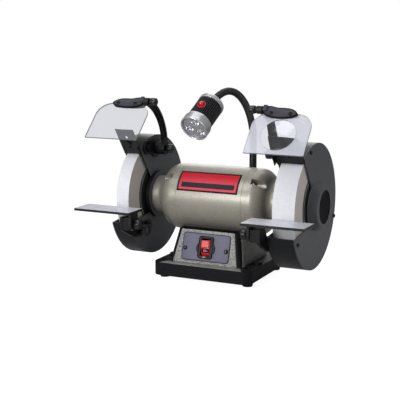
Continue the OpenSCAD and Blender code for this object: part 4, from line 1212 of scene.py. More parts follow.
@dataclass
class WorkLamp:
    """Small lamp head: bright tail cap, ribbed grip, flared bezel, three cups and a red push button."""

    ribs: int = 44
    flutes: int = 72
    knurls: int = 48
    cup_circle: float = 13.0
    cup_angles: tuple[float, ...] = (39.0, 159.0, 279.0)
    button_at: float = 33.0
    button_side: Vec = (0.083, -0.574, 0.815)

    def build(self) -> None:
        """Make every piece of the lamp."""
        place = aim(LAMP_BACK, LAMP_WAY)
        self._tail(place)
        self._grip(place)
        self._bezel(place)
        self._reflector(place)
        self._button()

    def _tail(self, place: Matrix) -> None:
        """Turn the tail cap and knurl its rim.

        Args:
            place: The lamp's frame, with Z the way that it looks.
        """
        rings = [
            (8.6, -6.0), (9.3, -5.3), (9.3, -0.8), (10.1, 0.0), (22.4, 0.0), (24.2, 0.5), (25.0, 1.9),
            (25.0, 3.4), (24.6, 3.7), (24.6, 4.1), (25.0, 4.4), (25.0, 8.3), (24.3, 9.0), (23.0, 9.1)]
        tail = lathe("lamp_tail_cap", rings, self.knurls * 2)
        tail.select(Pick.CORNERS, self._every(2, self.knurls * 2, 24.9)).scale((0.985, 0.985, 1.0))
        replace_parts(tail.coat(SILVER).settle(place, "lamp", "silver"), "lamp_rings")

    def _grip(self, place: Matrix) -> None:
        """Turn the grip and press its grooves in, three corners to a rib.

        Args:
            place: The lamp's frame.
        """
        count = self.ribs * 3
        grip = lathe("lamp_ribbed_grip", [(23.6, 9.2), (24.5, 9.9), (24.5, 52.1), (23.6, 52.8)], count)
        grip.select(Pick.CORNERS, self._every(3, count, 23.0)).scale((0.93, 0.93, 1.0))
        grip.coat(GRIP, RIDGE).coat_faces(1, lambda p, n: abs(n.z) < 0.3 and math.hypot(p.x, p.y) > 24.2)
        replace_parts(grip.settle(place, "lamp", "black_plastic", 20.0), "lamp_grip")

    @staticmethod
    def _every(step: int, count: int, beyond: float) -> Test:
        """Pass every so many corners of a ring, past a radius.

        Args:
            step: One corner in so many passes.
            count: Corners round the ring.
            beyond: The radius.

        Returns:
            The test.
        """

        def test(place: Vector, _normal: Vector) -> bool:
            """Count the corner's place round the ring."""
            index = round(math.atan2(place.y, place.x) / math.tau * count) % count
            return index % step == 0 and math.hypot(place.x, place.y) > beyond

        return test

    def _bezel(self, place: Matrix) -> None:
        """Turn the flared bezel, with fine flutes round it.

        Args:
            place: The lamp's frame.
        """
        rings = [
            (22.6, 53.0), (24.8, 53.0), (25.3, 53.5), (26.4, 56.0), (27.3, 59.0), (27.3, 71.5), (27.5, 72.3),
            (27.2, 73.5), (26.6, 74.0), (25.2, 74.0), (24.7, 73.4), (24.6, 62.0), (22.6, 60.0), (22.6, 53.0)]
        bezel = lathe("lamp_bezel", rings, self.flutes * 2, hollow=True).weld()
        fluted = self._every(2, self.flutes * 2, 27.0)
        bezel.select(Pick.CORNERS, lambda p, n: fluted(p, n) and 58.5 < p.z < 72.0).scale((0.988, 0.988, 1.0))
        piece = bezel.coat(SILVER).settle(place, "lamp", "silver", 30.0)
        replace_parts(piece, "lamp_rings")

    def _cup_spots(self) -> list[Matrix]:
        """Give the place of each cup in the lamp's frame.

        Returns:
            The places round the circle.
        """
        turns = [math.radians(angle) for angle in self.cup_angles]
        reach = self.cup_circle
        return [Matrix.Translation((reach * math.cos(a), reach * math.sin(a), 0.0)) for a in turns]

    def _reflector(self, place: Matrix) -> None:
        """Cut three bowls in the reflector and set a clear dome in each.

        Args:
            place: The lamp's frame.
        """
        plate = lathe("lamp_reflector_cups", [(24.4, 63.0), (24.4, 69.6), (24.0, 70.0)], 96)
        bowl_rings = [(4.9, 65.0), (6.2, 66.2), (7.2, 67.7), (7.9, 69.4), (8.3, 71.0)]
        dome_rings = [
            (4.7, 64.9), (4.7, 65.6), (3.4, 66.0), (3.3, 68.3), (3.0, 69.4), (2.3, 70.3), (1.2, 70.85),
            (0.3, 71.0)]
        for spot in self._cup_spots():
            plate.join_shape(lathe("cup_cutter", bowl_rings, 48).turn(spot))
        plate.coat(REFLECTOR, POLISHED)
        plate.coat_faces(1, lambda p, _n: 65.1 < p.z < 69.8 and math.hypot(p.x, p.y) < 22.5)
        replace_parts(plate.settle(place, "lamp", "reflector", 30.0), "lamp_reflector")
        for i, spot in enumerate(self._cup_spots()):
            dome = lathe(f"lamp_led_{i + 1}", dome_rings, 32).coat(EMITTER)
            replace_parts(dome.settle(place @ spot, "lamp", "led", 60.0), "lamp_leds")

    def _button(self) -> None:
        """Turn the red dome and the ring that it comes up through."""
        way, side = Vector(LAMP_WAY).normalized(), Vector(self.button_side)
        side = (side - side.dot(way) * way).normalized()
        place = aim(tuple(Vector(LAMP_BACK) + self.button_at * way), tuple(side))
        dome_rings = [
            (4.4, 18.0), (4.4, 26.8), (4.3, 28.0), (3.9, 29.0), (3.1, 29.8), (1.9, 30.3), (0.6, 30.5)]
        dome = lathe("lamp_button_dome", dome_rings, 40).coat(BUTTON_RED)
        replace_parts(dome.settle(place, "lamp_switch", "red_plastic", 60.0), "lamp_button")
        collar_rings = [
            (6.4, 20.0), (7.9, 20.0), (7.9, 25.1), (7.6, 25.6), (7.1, 25.7), (6.6, 25.4), (6.4, 24.9),
            (6.4, 20.0)]
        ring = lathe("lamp_button_ring", collar_rings, 48, hollow=True).weld()
        ring.coat(BUTTON_RED).settle(place, "lamp", "red_plastic")


# ---- Lock knobs ----


@dataclass
class LockKnobs:
    """Moulded hand knobs with six flutes: on the arms, the shields, the rests and the brackets."""

    lobes: int = 6
    per_lobe: int = 8
    flute_shares: tuple[float, ...] = (0.80, 0.87, 0.955)
    kinds: tuple[tuple[str, str, float, float], ...] = (
        ("arm_knob", "arm_lock", 8.5, 15.0),
        ("shield_knob", "shield_lock", 7.5, 15.0),
        ("rest_knob", "tilt_lock", 10.0, 14.0),
        ("slide_knob", "slide_lock", 11.5, 17.0),
    )

    def _knob(self, name: str, radius: float, length: float) -> Blank:
        """Turn a knob and press its flutes in.

        Args:
            name: The piece's name.
            radius: Over the lobes.
            length: From the free end to the foot.

        Returns:
            The knob, its free end at Z = 0.
        """
        count = self.lobes * self.per_lobe
        rings = [
            (radius * 0.5, 0.5), (radius * 0.56, 0.1), (radius * 0.78, 0.2), (radius * 0.93, 1.0),
            (radius, 2.6), (radius, length - 4.6), (radius * 0.94, length - 3.4),
            (radius * 0.66, length - 3.0), (radius * 0.6, length - 0.6), (radius * 0.52, length)]
        knob = lathe(name, rings, count)
        for near, share in enumerate(self.flute_shares):
            knob.select(Pick.CORNERS, self._flute(near, count, radius * 0.9)).scale((share, share, 1.0))
        return knob

    def _flute(self, near: int, count: int, beyond: float) -> Test:
        """Pass the corners so many steps from the middle of a flute, past a radius.

        Args:
            near: The steps.
            count: Corners round the knob.
            beyond: The radius.

        Returns:
            The test.
        """

        def test(place: Vector, _normal: Vector) -> bool:
            """Count the corner's steps from the nearest flute."""
            index = round(math.atan2(place.y, place.x) / math.tau * count) % self.per_lobe
            return min(index, self.per_lobe - index) == near and math.hypot(place.x, place.y) > beyond

        return test

    @staticmethod
    def _places(plan: SidePlan) -> dict[str, Matrix]:
        """Give the place of each kind of knob on one side, its free end towards the motor.

        Args:
            plan: The side.

        Returns:
            The place by the knob's node.
        """
        return {
            "arm_knob": plan.place(along_x(94.7, *ARM_PIVOT)),
            "shield_knob": plan.arm(along_x(92.7, *ARM_EYE)),
            "rest_knob": plan.place(along_x(97.7, plan.rest_axis_y, ARBOR_H - 33.5)),
            "slide_knob": plan.place(along_x(113.4, -78.0, ARBOR_H - 57.0)),
        }

    def build(self) -> None:
        """Make a knob of each kind, by its node, body, radius and length, and copy it to both sides."""
        masters = {node: self._knob(f"{node}_master", *size) for node, _body, *size in self.kinds}
        for plan in PLANS:
            tag = plan.side.tag
            places = self._places(plan)
            for node, body, *_size in self.kinds:
                knob = masters[node].copy(f"{node}_fluted_{tag}").coat(KNOB)
                piece = knob.settle(places[node], f"{body}_{tag}", "black_plastic", 40.0)
                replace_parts(piece, f"{node}_{tag}")
        for master in masters.values():
            master.discard()


# ---- Motor label ----


@dataclass
class MotorLabel:
    """Thin printed plate round the motor's upper front: border, field and band, with no lettering."""

    radius: float = 62.55
    thick: float = 0.35
    x_low: float = -64.5
    x_high: float = 58.0
    low_angle: float = 18.8
    high_angle: float = 57.8
    border: float = 3.2
    band_angles: tuple[float, float] = (25.6, 34.6)
    band_inset: float = 8.0
    steps: int = 39

    def build(self) -> None:
        """Spin an edge round the motor's axis, thicken the strip and print it."""
        low = math.radians(self.low_angle)
        start = (0.0, -self.radius * math.cos(low), self.radius * math.sin(low))
        half = 0.5
        label = Blank("motor_label", Start.PLANE, size=2 * half)
        label.select(Pick.CORNERS, lambda p, _n: p.y > 0)
        bpy.ops.mesh.delete(type="VERT")
        for x, sign in ((self.x_low, -1), (self.x_high, 1)):
            end = label.select(Pick.CORNERS, lambda p, _n, sign=sign: p.y == -half and p.x * sign > 0)
            end.move((x - sign * half, start[1] + half, start[2]))
        label.select(Pick.EDGES)
        span = math.radians(self.high_angle - self.low_angle)
        bpy.ops.mesh.spin(steps=self.steps, angle=span, center=(0, 0, 0), axis=(1, 0, 0))
        for inset in (self.border, self.band_inset):
            for x in (self.x_low + inset, self.x_high - inset):
                label.bisect((x, 0, 0), (1, 0, 0))
        label.modify("SOLIDIFY", thickness=self.thick, offset=0.0)
        label.coat(LABEL_RED, LABEL_BLACK, LABEL_BAND)
        label.coat_faces(1, self._is_border)
        label.coat_faces(2, self._is_band)
        label.settle(Matrix.Translation((0, 0, ARBOR_H)), "frame", "plate_grey", 30.0)

    @staticmethod
    def _angle(place: Vector) -> float:
        """Give a point's angle above level at the front."""
        return math.degrees(math.atan2(place.z, -place.y))

    def _is_border(self, place: Vector, _normal: Vector) -> bool:
        """Tell whether a face lies in the border.

        Args:
            place: The face's middle.
            _normal: The face's normal, which doesn't matter.

        Returns:
            Whether it does.
        """
        edge = math.degrees(self.border / self.radius)
        angle = self._angle(place)
        across = place.x < self.x_low + self.border or place.x > self.x_high - self.border
        return across or angle < self.low_angle + edge or angle > self.high_angle - edge

    def _is_band(self, place: Vector, _normal: Vector) -> bool:
        """Tell whether a face lies in the band."""
        inside = self.x_low + self.band_inset < place.x < self.x_high - self.band_inset
        return inside and self.band_angles[0] < self._angle(place) < self.band_angles[1]


# ---- Pedestal and switch ----


@dataclass
class Pedestal:
    """Flecked panels on the pedestal's four leaning faces, between its black rounded corners.

    The half depths in front and at the back and the half width are those of the pedestal at two heights,
    low and high.
    """

    front_low: float = 75.0
    front_high: float = 57.0
    back_low: float = 60.0
    back_high: float = 54.0
    half_low: float = 74.0
    half_high: float = 62.0
    hull_z: float = 28.0
    slab_z: float = 32.0
    top_z: float = 92.0
    corner: float = 8.8
    proud: float = 0.45
    sunk: float = 0.6
    gap: float = 0.2
    rim: float = 0.35
    slab_front: float = 95.0
    ledge_half: float = 82.0
    ledge_gap: float = 1.2
    switch_opening: Vec = (30.0, 40.0, 9.0)

    def _panel(self, name: str, low: tuple[float, float], high: tuple[float, float], height: float) -> Blank:
        """Make a thin trapezoid panel with a rounded rim.

        Args:
            name: The piece's name.
            low: Left and right ends of the lower edge.
            high: Left and right ends of the upper edge.
            height: Up the face.

        Returns:
            The panel, with its outside towards Z.
        """
        panel = outline(name, [(low[0], 0.0), (low[1], 0.0), (high[1], height), (high[0], height)])
        panel.thicken(-self.sunk, self.proud)
        panel.select(Pick.EDGES, lambda p, _w: p.z > self.proud - 0.05).bevel(self.rim, 2)
        return panel.coat(FLECKED)

    def build(self) -> None:
        """Make and settle the four panels, and the strip on the slab in front of them."""
        rise = self.top_z - self.hull_z
        share = (self.slab_z - self.hull_z) / rise
        front = self.front_low + share * (self.front_high - self.front_low)
        back = self.back_low + share * (self.back_high - self.back_low)
        half = self.half_low + share * (self.half_high - self.half_low)
        up = self.top_z - self.slab_z
        faces = {
            "front": (0.0, front - self.front_high, front, (-half, half), (-self.half_high, self.half_high)),
            "right": (90.0, half - self.half_high, half, (-front, back), (-self.front_high, self.back_high)),
            "back": (180.0, back - self.back_high, back, (-half, half), (-self.half_high, self.half_high)),
            "left": (270.0, half - self.half_high, half, (-back, front), (-self.back_high, self.front_high)),
        }
        for tag, (turn, drop, away, low, high) in faces.items():
            lean = math.atan2(drop, up)
            low, high = ((a + self.corner, b - self.corner) for a, b in (low, high))
            panel = self._panel(f"pedestal_panel_{tag}", low, high, math.hypot(drop, up) - 2 * self.gap)
            if tag == "front":
                panel.join_shape(block("opening_cutter", self.switch_opening, (0, PowerSwitch.middle, 0)))
            stand = Matrix.Translation((0, -away, self.slab_z + self.gap))
            tipped = stand @ Matrix.Rotation(math.pi / 2 - lean, 4, "X")
            panel.settle(Matrix.Rotation(math.radians(turn), 4, "Z") @ tipped, "frame", "plate_grey", 30.0)
        depth = self.slab_front - front - 2 * self.ledge_gap
        ledge = self._panel("pedestal_ledge", (-self.ledge_half, self.ledge_half), (-half, half), depth)
        spot = Matrix.Translation((0, self.ledge_gap - self.slab_front, self.slab_z))
        ledge.settle(spot, "frame", "plate_grey", 30.0)


def rounded(half_x: float, low: float, high: float, radius: float, steps: int = 6) -> Points:
    """List the corners of a rounded rectangle.

    Args:
        half_x: Half its width.
        low: Its lower edge.
        high: Its upper edge.
        radius: Of the corners.
        steps: Parts of each corner.

    Returns:
        The corners in order.
    """
    middles = ((half_x, high, 0), (-half_x, high, 1), (-half_x, low, 2), (half_x, low, 3))
    points = []
    for x, y, quarter in middles:
        cx = x - math.copysign(radius, x)
        cy = y - radius if y == high else y + radius
        turns = [math.pi / 2 * (quarter + i / steps) for i in range(steps + 1)]
        points += [(cx + radius * math.cos(a), cy + radius * math.sin(a)) for a in turns]
    return points


@dataclass
class SwitchPlate:
    """Brushed plate with rounded corners on a black gasket, held by two domed screws."""

    half_x: float = 46.5
    half_y: float = 24.5
    corner: float = 4.5
    rim: float = 1.4
    thick: float = 1.5
    sunk: float = 0.3
    gasket_thick: float = 0.9
    housing_hole: Vec = (28.2, 38.4, 9.0)
    screw_x: float = 41.5
    screw_drop: float = 4.0
    cross_turn: float = 0.4

    def build(self) -> None:
        """Make the plate, the gasket and the screw heads."""
        place = PowerSwitch().frame()
        gasket = self._sheet("switch_gasket", self.rim, 0.0, self.gasket_thick)
        plate = self._sheet("switch_plate_brushed", 0.0, self.sunk, self.thick)
        plate.select(Pick.EDGES, lambda p, way: p.z > self.thick - 0.05 and abs(way.z) < 0.1).bevel(0.3, 2)
        gasket.coat(SWITCH_BODY).settle(place, "frame", "black_plastic", 30.0)
        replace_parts(plate.coat(PLATE).settle(place, "frame", "plate_grey", 30.0), "switch_plate")
        for i, spot in enumerate(self.screw_spots(self.thick)):
            self._screw(f"plate_screw_{i + 1}").settle(place @ spot, "frame", "steel", 40.0)

    def screw_spots(self, height: float) -> list[Matrix]:
        """Give the places of the two screws in the switch's frame, at a height over the face."""
        return [Matrix.Translation((x, -self.screw_drop, height)) for x in (-self.screw_x, self.screw_x)]

    def _sheet(self, name: str, rim: float, low: float, high: float) -> Blank:
        """Cut a rounded sheet with the housing's hole.

        Args:
            name: The piece's name.
            rim: How far it stands out round the plate.
            low: Its underside.
            high: Its upper side.

        Returns:
            The sheet, lying in the switch's frame.
        """
        half_y = self.half_y + rim
        sheet = outline(name, rounded(self.half_x + rim, -half_y, half_y, self.corner + rim))
        return sheet.thicken(low, high).join_shape(block("hole_cutter", self.housing_hole))

    def _screw(self, name: str) -> Blank:
        """Turn a domed head and cut a cross in it.

        Args:
            name: The piece's name.

        Returns:
            The head, standing on Z = 0.
        """
        rings = [(4.0, 0.0), (4.0, 0.6), (3.7, 1.4), (3.0, 2.1), (2.0, 2.6), (1.0, 2.8), (0.3, 2.85)]
        dome = lathe(name, rings, 40)
        for turn in (0.0, math.pi / 2):
            slot = block("slot_cutter", (3.4, 0.8, 1.6), (0, 0, 3.0))
            dome.join_shape(slot.turn(Matrix.Rotation(turn + self.cross_turn, 4, "Z")))
        return dome.coat(SCREW_BLACK)


@dataclass
class PowerSwitch:
    """Paddle switch: a bulged black bezel, a red paddle with a raised key, and plain ON and OFF marks."""

    face: Vec = (0.0, -75.0, 32.0)
    lean: float = math.atan(18.0 / 60.0)
    middle: float = 31.5
    tilt: float = 12.0
    pivot_depth: float = 4.0
    peak: float = 3.6
    pad_edge: float = 9.2
    paddle_half: float = 14.8

    def frame(self) -> Matrix:
        """Give the frame of the leaning face at the switch's middle."""
        stand = Matrix.Translation(self.face) @ Matrix.Rotation(math.pi / 2 - self.lean, 4, "X")
        return stand @ Matrix.Translation((0, self.middle, 0))

    def build(self) -> None:
        """Make the bezel, the paddle and the marks."""
        self._bezel()
        self._paddle()
        mark = stroke("switch_mark_off", "OFF", 3.6, 0.3).coat(MARK_WHITE)
        mark.settle(self.frame() @ Matrix.Translation((0, -18.5, 4.25)), "frame", "plate_grey", 20.0)

    @staticmethod
    def _field(low: float, high: float, half_x: float, level: float) -> Test:
        """Pass the faces in a rectangle of the switch's frame whose normal's Z is over a level."""
        return lambda place, normal: normal.z > level and low < place.y < high and abs(place.x) < half_x

    def _bezel(self) -> None:
        """Join a tall block and a wide bulge, and open the well."""
        bezel = block("switch_bezel", (29.0, 42.0, 2.7), (0, 0, 2.85))
        bezel.select(Pick.EDGES, lambda _p, way: abs(way.z) > 0.9).bevel(5.0, 4)
        bulge = lathe("bezel_bulge", [(1.0, 1.5), (1.0, 2.9), (0.97, 3.3)], 48)
        bulge.select(Pick.CORNERS).scale((19.0, 14.5, 1.0)).move((0, -2.0, 0))
        bezel.join_shape(bulge, Join.ADD)
        bezel.join_shape(block("bezel_body", (27.4, 37.4, 19.2), (0, 0, -7.9)), Join.ADD)
        bezel.join_shape(block("bezel_well", (18.7, 32.4, 26.0)))
        bezel.select(Pick.EDGES, lambda p, way: p.z > 4.1 and abs(way.z) < 0.1).bevel(0.5, 2)
        piece = bezel.coat(SWITCH_BODY).settle(self.frame(), "frame", "black_plastic", 30.0)
        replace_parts(piece, "switch_housing")

    def _paddle(self) -> None:
        """Shape the paddle from a block: a peak across it, a raised key above and a sunk pad below."""
        paddle = block("switch_paddle", (17.6, 2 * self.paddle_half, 8.0), (0, 0, 1.0))
        paddle.bisect((0, 0, 0), (0, 1, 0)).bisect((0, -self.pad_edge, 0), (0, 1, 0))
        for y in (0.0, self.pad_edge):
            paddle.select(Pick.EDGES, lambda p, _way, y=y: abs(p.y + y) < 0.1 and p.z > 4.9)
            paddle.move((0, 0, self.peak * (1 - y / self.paddle_half)))
        paddle.select(Pick.EDGES, lambda p, way: abs(p.y) > 14.0 and p.z < -2.9 and abs(way.x) > 0.9)
        paddle.scale((1.0, 0.45, 1.0))
        paddle.select(Pick.EDGES, lambda p, way: p.z > 4.0).bevel(0.8, 2)
        for low, high, width, depth in ((3.0, self.paddle_half, 0.4, 2.2), (-9.0, -3.0, 0.3, -0.4)):
            paddle.select(Pick.FACES, self._field(low, high, 6.0, 0.8)).inset(0.5).inset(width, depth)
        paddle.coat(SWITCH_RED, SWITCH_BODY).coat_faces(1, self._field(-8.6, -0.9, 8.0, 0.6))
        turn = Matrix.Rotation(math.radians(self.tilt), 4, "X")
        tipped = self.frame() @ Matrix.Translation((0, 0, -self.pivot_depth)) @ turn
        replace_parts(paddle.settle(tipped, "rocker", "red_plastic", 30.0), "switch_rocker")
        slope = math.atan2(self.peak, self.paddle_half)
        mark = stroke("switch_mark_on", "ON", 5.4, 0.3).coat(MARK_WHITE)
        lower = Matrix.Translation((0, -4.8, 7.15)) @ Matrix.Rotation(slope, 4, "X")
        mark.settle(tipped @ lower, "rocker", "plate_grey", 20.0)


# ---- Screws, lens and sheet ----


@dataclass
class Screws:
    """Cross recesses cut in the heads of the machine screws."""

    length: float = 4.2
    width: float = 0.9
    depth: float = 1.1
    cover_angles: tuple[float, ...] = (70.0, 199.0, 331.0)
    circle: float = 108.0
    sheet: float = 2.0
    head: float = 2.2
    guard_inner_x: float = 136.0
    mouth_angle: float = 36.0
    mouth_reach: float = 130.0
    mouth_lift: float = 5.2
    plate_head: float = 3.5

    def _spots(self) -> Iterable[Matrix]:
        """Give each visible head's place, with Z out of the head's top.

        Yields:
            The covers' screws and the arrestor's screw of each side, then the switch plate's.
        """
        for plan in PLANS:
            for angle in self.cover_angles:
                turn = math.radians(angle)
                y, z = -self.circle * math.cos(turn), ARBOR_H + self.circle * math.sin(turn)
                yield plan.place(along_x(plan.cover_x + self.sheet + self.head, y, z))
            middle = (self.guard_inner_x + plan.cover_x) / 2
            turn = Matrix.Rotation(math.radians(90.0 + self.mouth_angle), 4, "X")
            mouth = Matrix.Translation((0, 0, ARBOR_H)) @ turn
            yield plan.place(mouth @ Matrix.Translation((middle, self.mouth_reach, self.mouth_lift)))
        for spot in SwitchPlate().screw_spots(self.plate_head):
            yield PowerSwitch().frame() @ spot

    def build(self) -> None:
        """Cut a copy of the screws with a cross at every head."""
        screws = from_node("cross_head_screws", "machine_screws")
        for spot in self._spots():
            for turn in (0.0, math.pi / 2):
                slot = block("slot_cutter", (self.length, self.width, 2 * self.depth))
                screws.join_shape(slot.turn(spot @ Matrix.Rotation(turn, 4, "Z")))
        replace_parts(screws.coat(OXIDE).settle(HERE, "frame", "steel", 30.0), "machine_screws")


@dataclass
class HubCaps:
    """Near-black discs in the round recess of each cover's hub: painted shade that stands for the recess's
    dark.
    """

    recess: float = 16.5

    def build(self) -> None:
        """Turn a dished disc of painted shade for each side."""
        rings = [(30.6, 0.05), (30.6, 0.9), (29.9, 1.35), (28.6, 1.4), (27.4, 0.9), (15.0, 0.7), (6.0, 0.65)]
        for plan in PLANS:
            cap = lathe(f"hub_cap{plan.side.tag}", rings, 96)
            place = plan.place(along_x(plan.cover_x + self.recess, 0.0, ARBOR_H))
            cap.coat(HUB_SHADE_BLACK).settle(place, "frame", "black_plastic", 20.0)


@dataclass
class ShieldClamps:
    """Leaf-shaped moulded clamps: a front and a back half, a lug with its rod, and two socket screws."""

    half_gap: float = 1.7
    thick: float = 4.5
    face_sunk: float = 0.35
    screw_x: tuple[float, float] = (135.0, 170.0)
    rod_x: float = 99.0
    leaf: tuple[tuple[float, float], ...] = (
        (119.3, -14.6), (133.0, -14.6), (137.5, -13.6), (142.5, -12.2), (148.0, -11.6), (156.0, -11.7),
        (165.0, -11.2), (172.5, -9.4), (178.4, -6.2), (181.9, -2.6), (182.8, -0.4), (181.8, 1.8),
        (177.4, 4.6), (170.0, 7.0), (161.0, 8.6), (151.0, 9.0), (141.0, 8.4), (132.0, 6.6), (125.0, 3.8),
        (120.6, 0.8), (119.1, -2.0))

    def _leaf(self, name: str) -> Blank:
        """Make one half as a leaf with a rounded rim and a slightly sunk face.

        Args:
            name: The blank's name.

        Returns:
            The half, lying on Z = 0 with its face up.
        """
        leaf = outline(name, self.leaf).thicken(0.0, self.thick)
        leaf.select(Pick.FACES, lambda p, n: n.z > 0.9).inset(1.7).inset(0.5, -self.face_sunk)
        leaf.select(Pick.EDGES, lambda p, way: abs(p.z - self.thick) < 0.01 and abs(way.z) < 0.1)
        leaf.bevel(0.5, 2)
        leaf.coat(CLAMP_RIM, CLAMP)
        return leaf.coat_faces(1, lambda p, n: n.z > 0.9 and p.z < self.thick - 0.3)

    def build(self) -> None:
        """Make the clamp's pieces once and set them on both sides."""
        front = self._leaf("clamp_leaf")
        behind = front.copy("clamp_leaf_back")
        behind.select(Pick.CORNERS, lambda p, _n: p.y > 0).scale((1.0, 0.3, 1.0))
        lug = block("clamp_lug", (7.5, 11.2, 15.6), (122.9, -8.9, -2.0))
        lug.coat(CLAMP).select(Pick.EDGES).bevel(1.2, 2)
        rod = lathe("clamp_rod", [(2.6, 0.0), (3.0, 0.5), (3.0, 20.8)], 32).coat(ZINC)
        screw = lathe("clamp_screw", [(3.6, 0.0), (3.6, 0.5), (3.2, 1.0), (2.4, 1.3)], 32)
        screw.join_shape(lathe("socket_cutter", [(1.7, 0.3), (1.7, 3.0)], 6)).coat(OXIDE)
        for plan in PLANS:
            tag = plan.side.tag
            outside = Matrix.Translation((0, 0, -self.half_gap)) @ FLIP
            inside = Matrix.Translation((0, 0, self.half_gap))
            pieces = [
                (front, f"clamp_front_{tag}", plan.slope(outside), "clamp_slate", 35.0),
                (behind, f"clamp_back_{tag}", plan.slope(inside), "clamp_slate", 35.0),
                (lug, f"clamp_lug_{tag}", plan.slope(HERE), "clamp_slate", 35.0),
                (rod, f"clamp_rod_{tag}", plan.arm(along_x(self.rod_x, *ARM_EYE)), "steel", 35.0),
            ]
            for i, x in enumerate(self.screw_x):
                spot = plan.slope(outside @ Matrix.Translation((x, 0, self.thick - self.face_sunk)))
                pieces.append((screw, f"clamp_screw_{tag}_{i + 1}", spot, "steel", 25.0))
            for master, name, place, slot, angle in pieces:
                piece = master.copy(name).settle(place, f"shield_{tag}", slot, angle)
                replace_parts(piece, f"shield_clamp_{tag}")
        for master in (front, behind, lug, rod, screw):
            master.discard()


@dataclass
class Magnifier:
    """Plano-convex lens set in a round hole of the right shield."""

    radius: float = 31.0
    x: float = 157.5
    down: float = 41.0
    bulge: float = 2.4
    shield_half: float = 1.5
    fit: float = 0.02
    tip: float = 0.4
    rings: int = 9

    def build(self) -> None:
        """Turn the lens and cut its hole in a copy of the sheet."""
        place = PLANS[1].slope(Matrix.Translation((self.x, self.down, 0)))
        sphere_r = (self.radius**2 + self.bulge**2) / (2 * self.bulge)
        low = self.shield_half + self.bulge - sphere_r
        radii = [self.radius * (1 - i / self.rings) for i in range(self.rings)] + [self.tip]
        dome = [(r, low + math.sqrt(sphere_r**2 - r**2)) for r in radii]
        lens = lathe("magnifier_glass", [(self.radius, -self.shield_half), *dome], 96).coat(LENS)
        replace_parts(lens.settle(place, "shield_right", "clear_sheet", 60.0), "magnifier_lens")
        sheet = from_node("shield_sheet_with_hole", "eye_shield_right")
        bore = self.radius + self.fit
        hole = lathe("hole_cutter", [(bore, -4 * self.shield_half), (bore, 4 * self.shield_half)], 96)
        sheet.join_shape(hole.turn(place)).coat(SHIELD_RIGHT)
        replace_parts(sheet.settle(HERE, "shield_right", "clear_sheet", 30.0), "eye_shield_right")


# ---- Finishes of the construction pieces ----


SINGLE_FINISH: dict[str, Finish] = {
    "base_casting": WRINKLE, "bottom_plate": ZINC, "rubber_feet": RUBBER, "machine_screws": OXIDE,
    "switch_plate": PLATE, "switch_housing": SWITCH_BODY, "switch_rocker": SWITCH_RED,
    "run_capacitor": SWITCH_BODY, "cord_gland": SWITCH_BODY, "motor_shell": CHAMPAGNE,
    "through_bolts": ZINC, "stator_core": LAMINATION, "stator_windings": COPPER, "rotor_core": LAMINATION,
    "arbor_shaft": ZINC, "arbor_bearings": ZINC, "wheel_flanges": ZINC, "wheel_blotters": PAPER,
    "arbor_nuts": ZINC, "guard_studs": OXIDE, "eye_shield_left": SHIELD_LEFT,
    "eye_shield_right": SHIELD_RIGHT, "magnifier_lens": LENS, "lamp_post": SATIN_BLACK,
    "lamp_rings": POLISHED, "lamp_grip": KNOB, "lamp_reflector": REFLECTOR, "lamp_leds": EMITTER,
    "lamp_button": SWITCH_RED,
}
BOTH_SIDES_FINISH: dict[str, Finish] = {
    "end_bell": CHAMPAGNE, "wheel": ABRASIVE, "guard": GUARD, "guard_cover": COVER,
    "spark_arrestor": SATIN_BLACK, "shield_arm": SATIN_BLACK, "shield_clamp": CLAMP,
    "rest_bracket": SATIN_BLACK, "rest_table": GROUND, "arm_knob": KNOB, "shield_knob": KNOB,
    "rest_knob": KNOB, "slide_knob": KNOB,
}


def dress_construction() -> None:
    """Give every construction node its finish."""
    finishes = dict(SINGLE_FINISH)
    for stem, finish in BOTH_SIDES_FINISH.items():
        finishes.update({f"{stem}_{side.tag}": finish for side in Side})
    finishes.update({f"neck_link_{i + 1}": SATIN_BLACK for i in range(len(Gooseneck.hinges))})
    for name, finish in finishes.items():
        node = frame["nodes"][name]
        node.data.materials.clear()
        node.data.materials.append(finish.build())
        LOG.info("dressed %s", name)


# ---- Studio ----


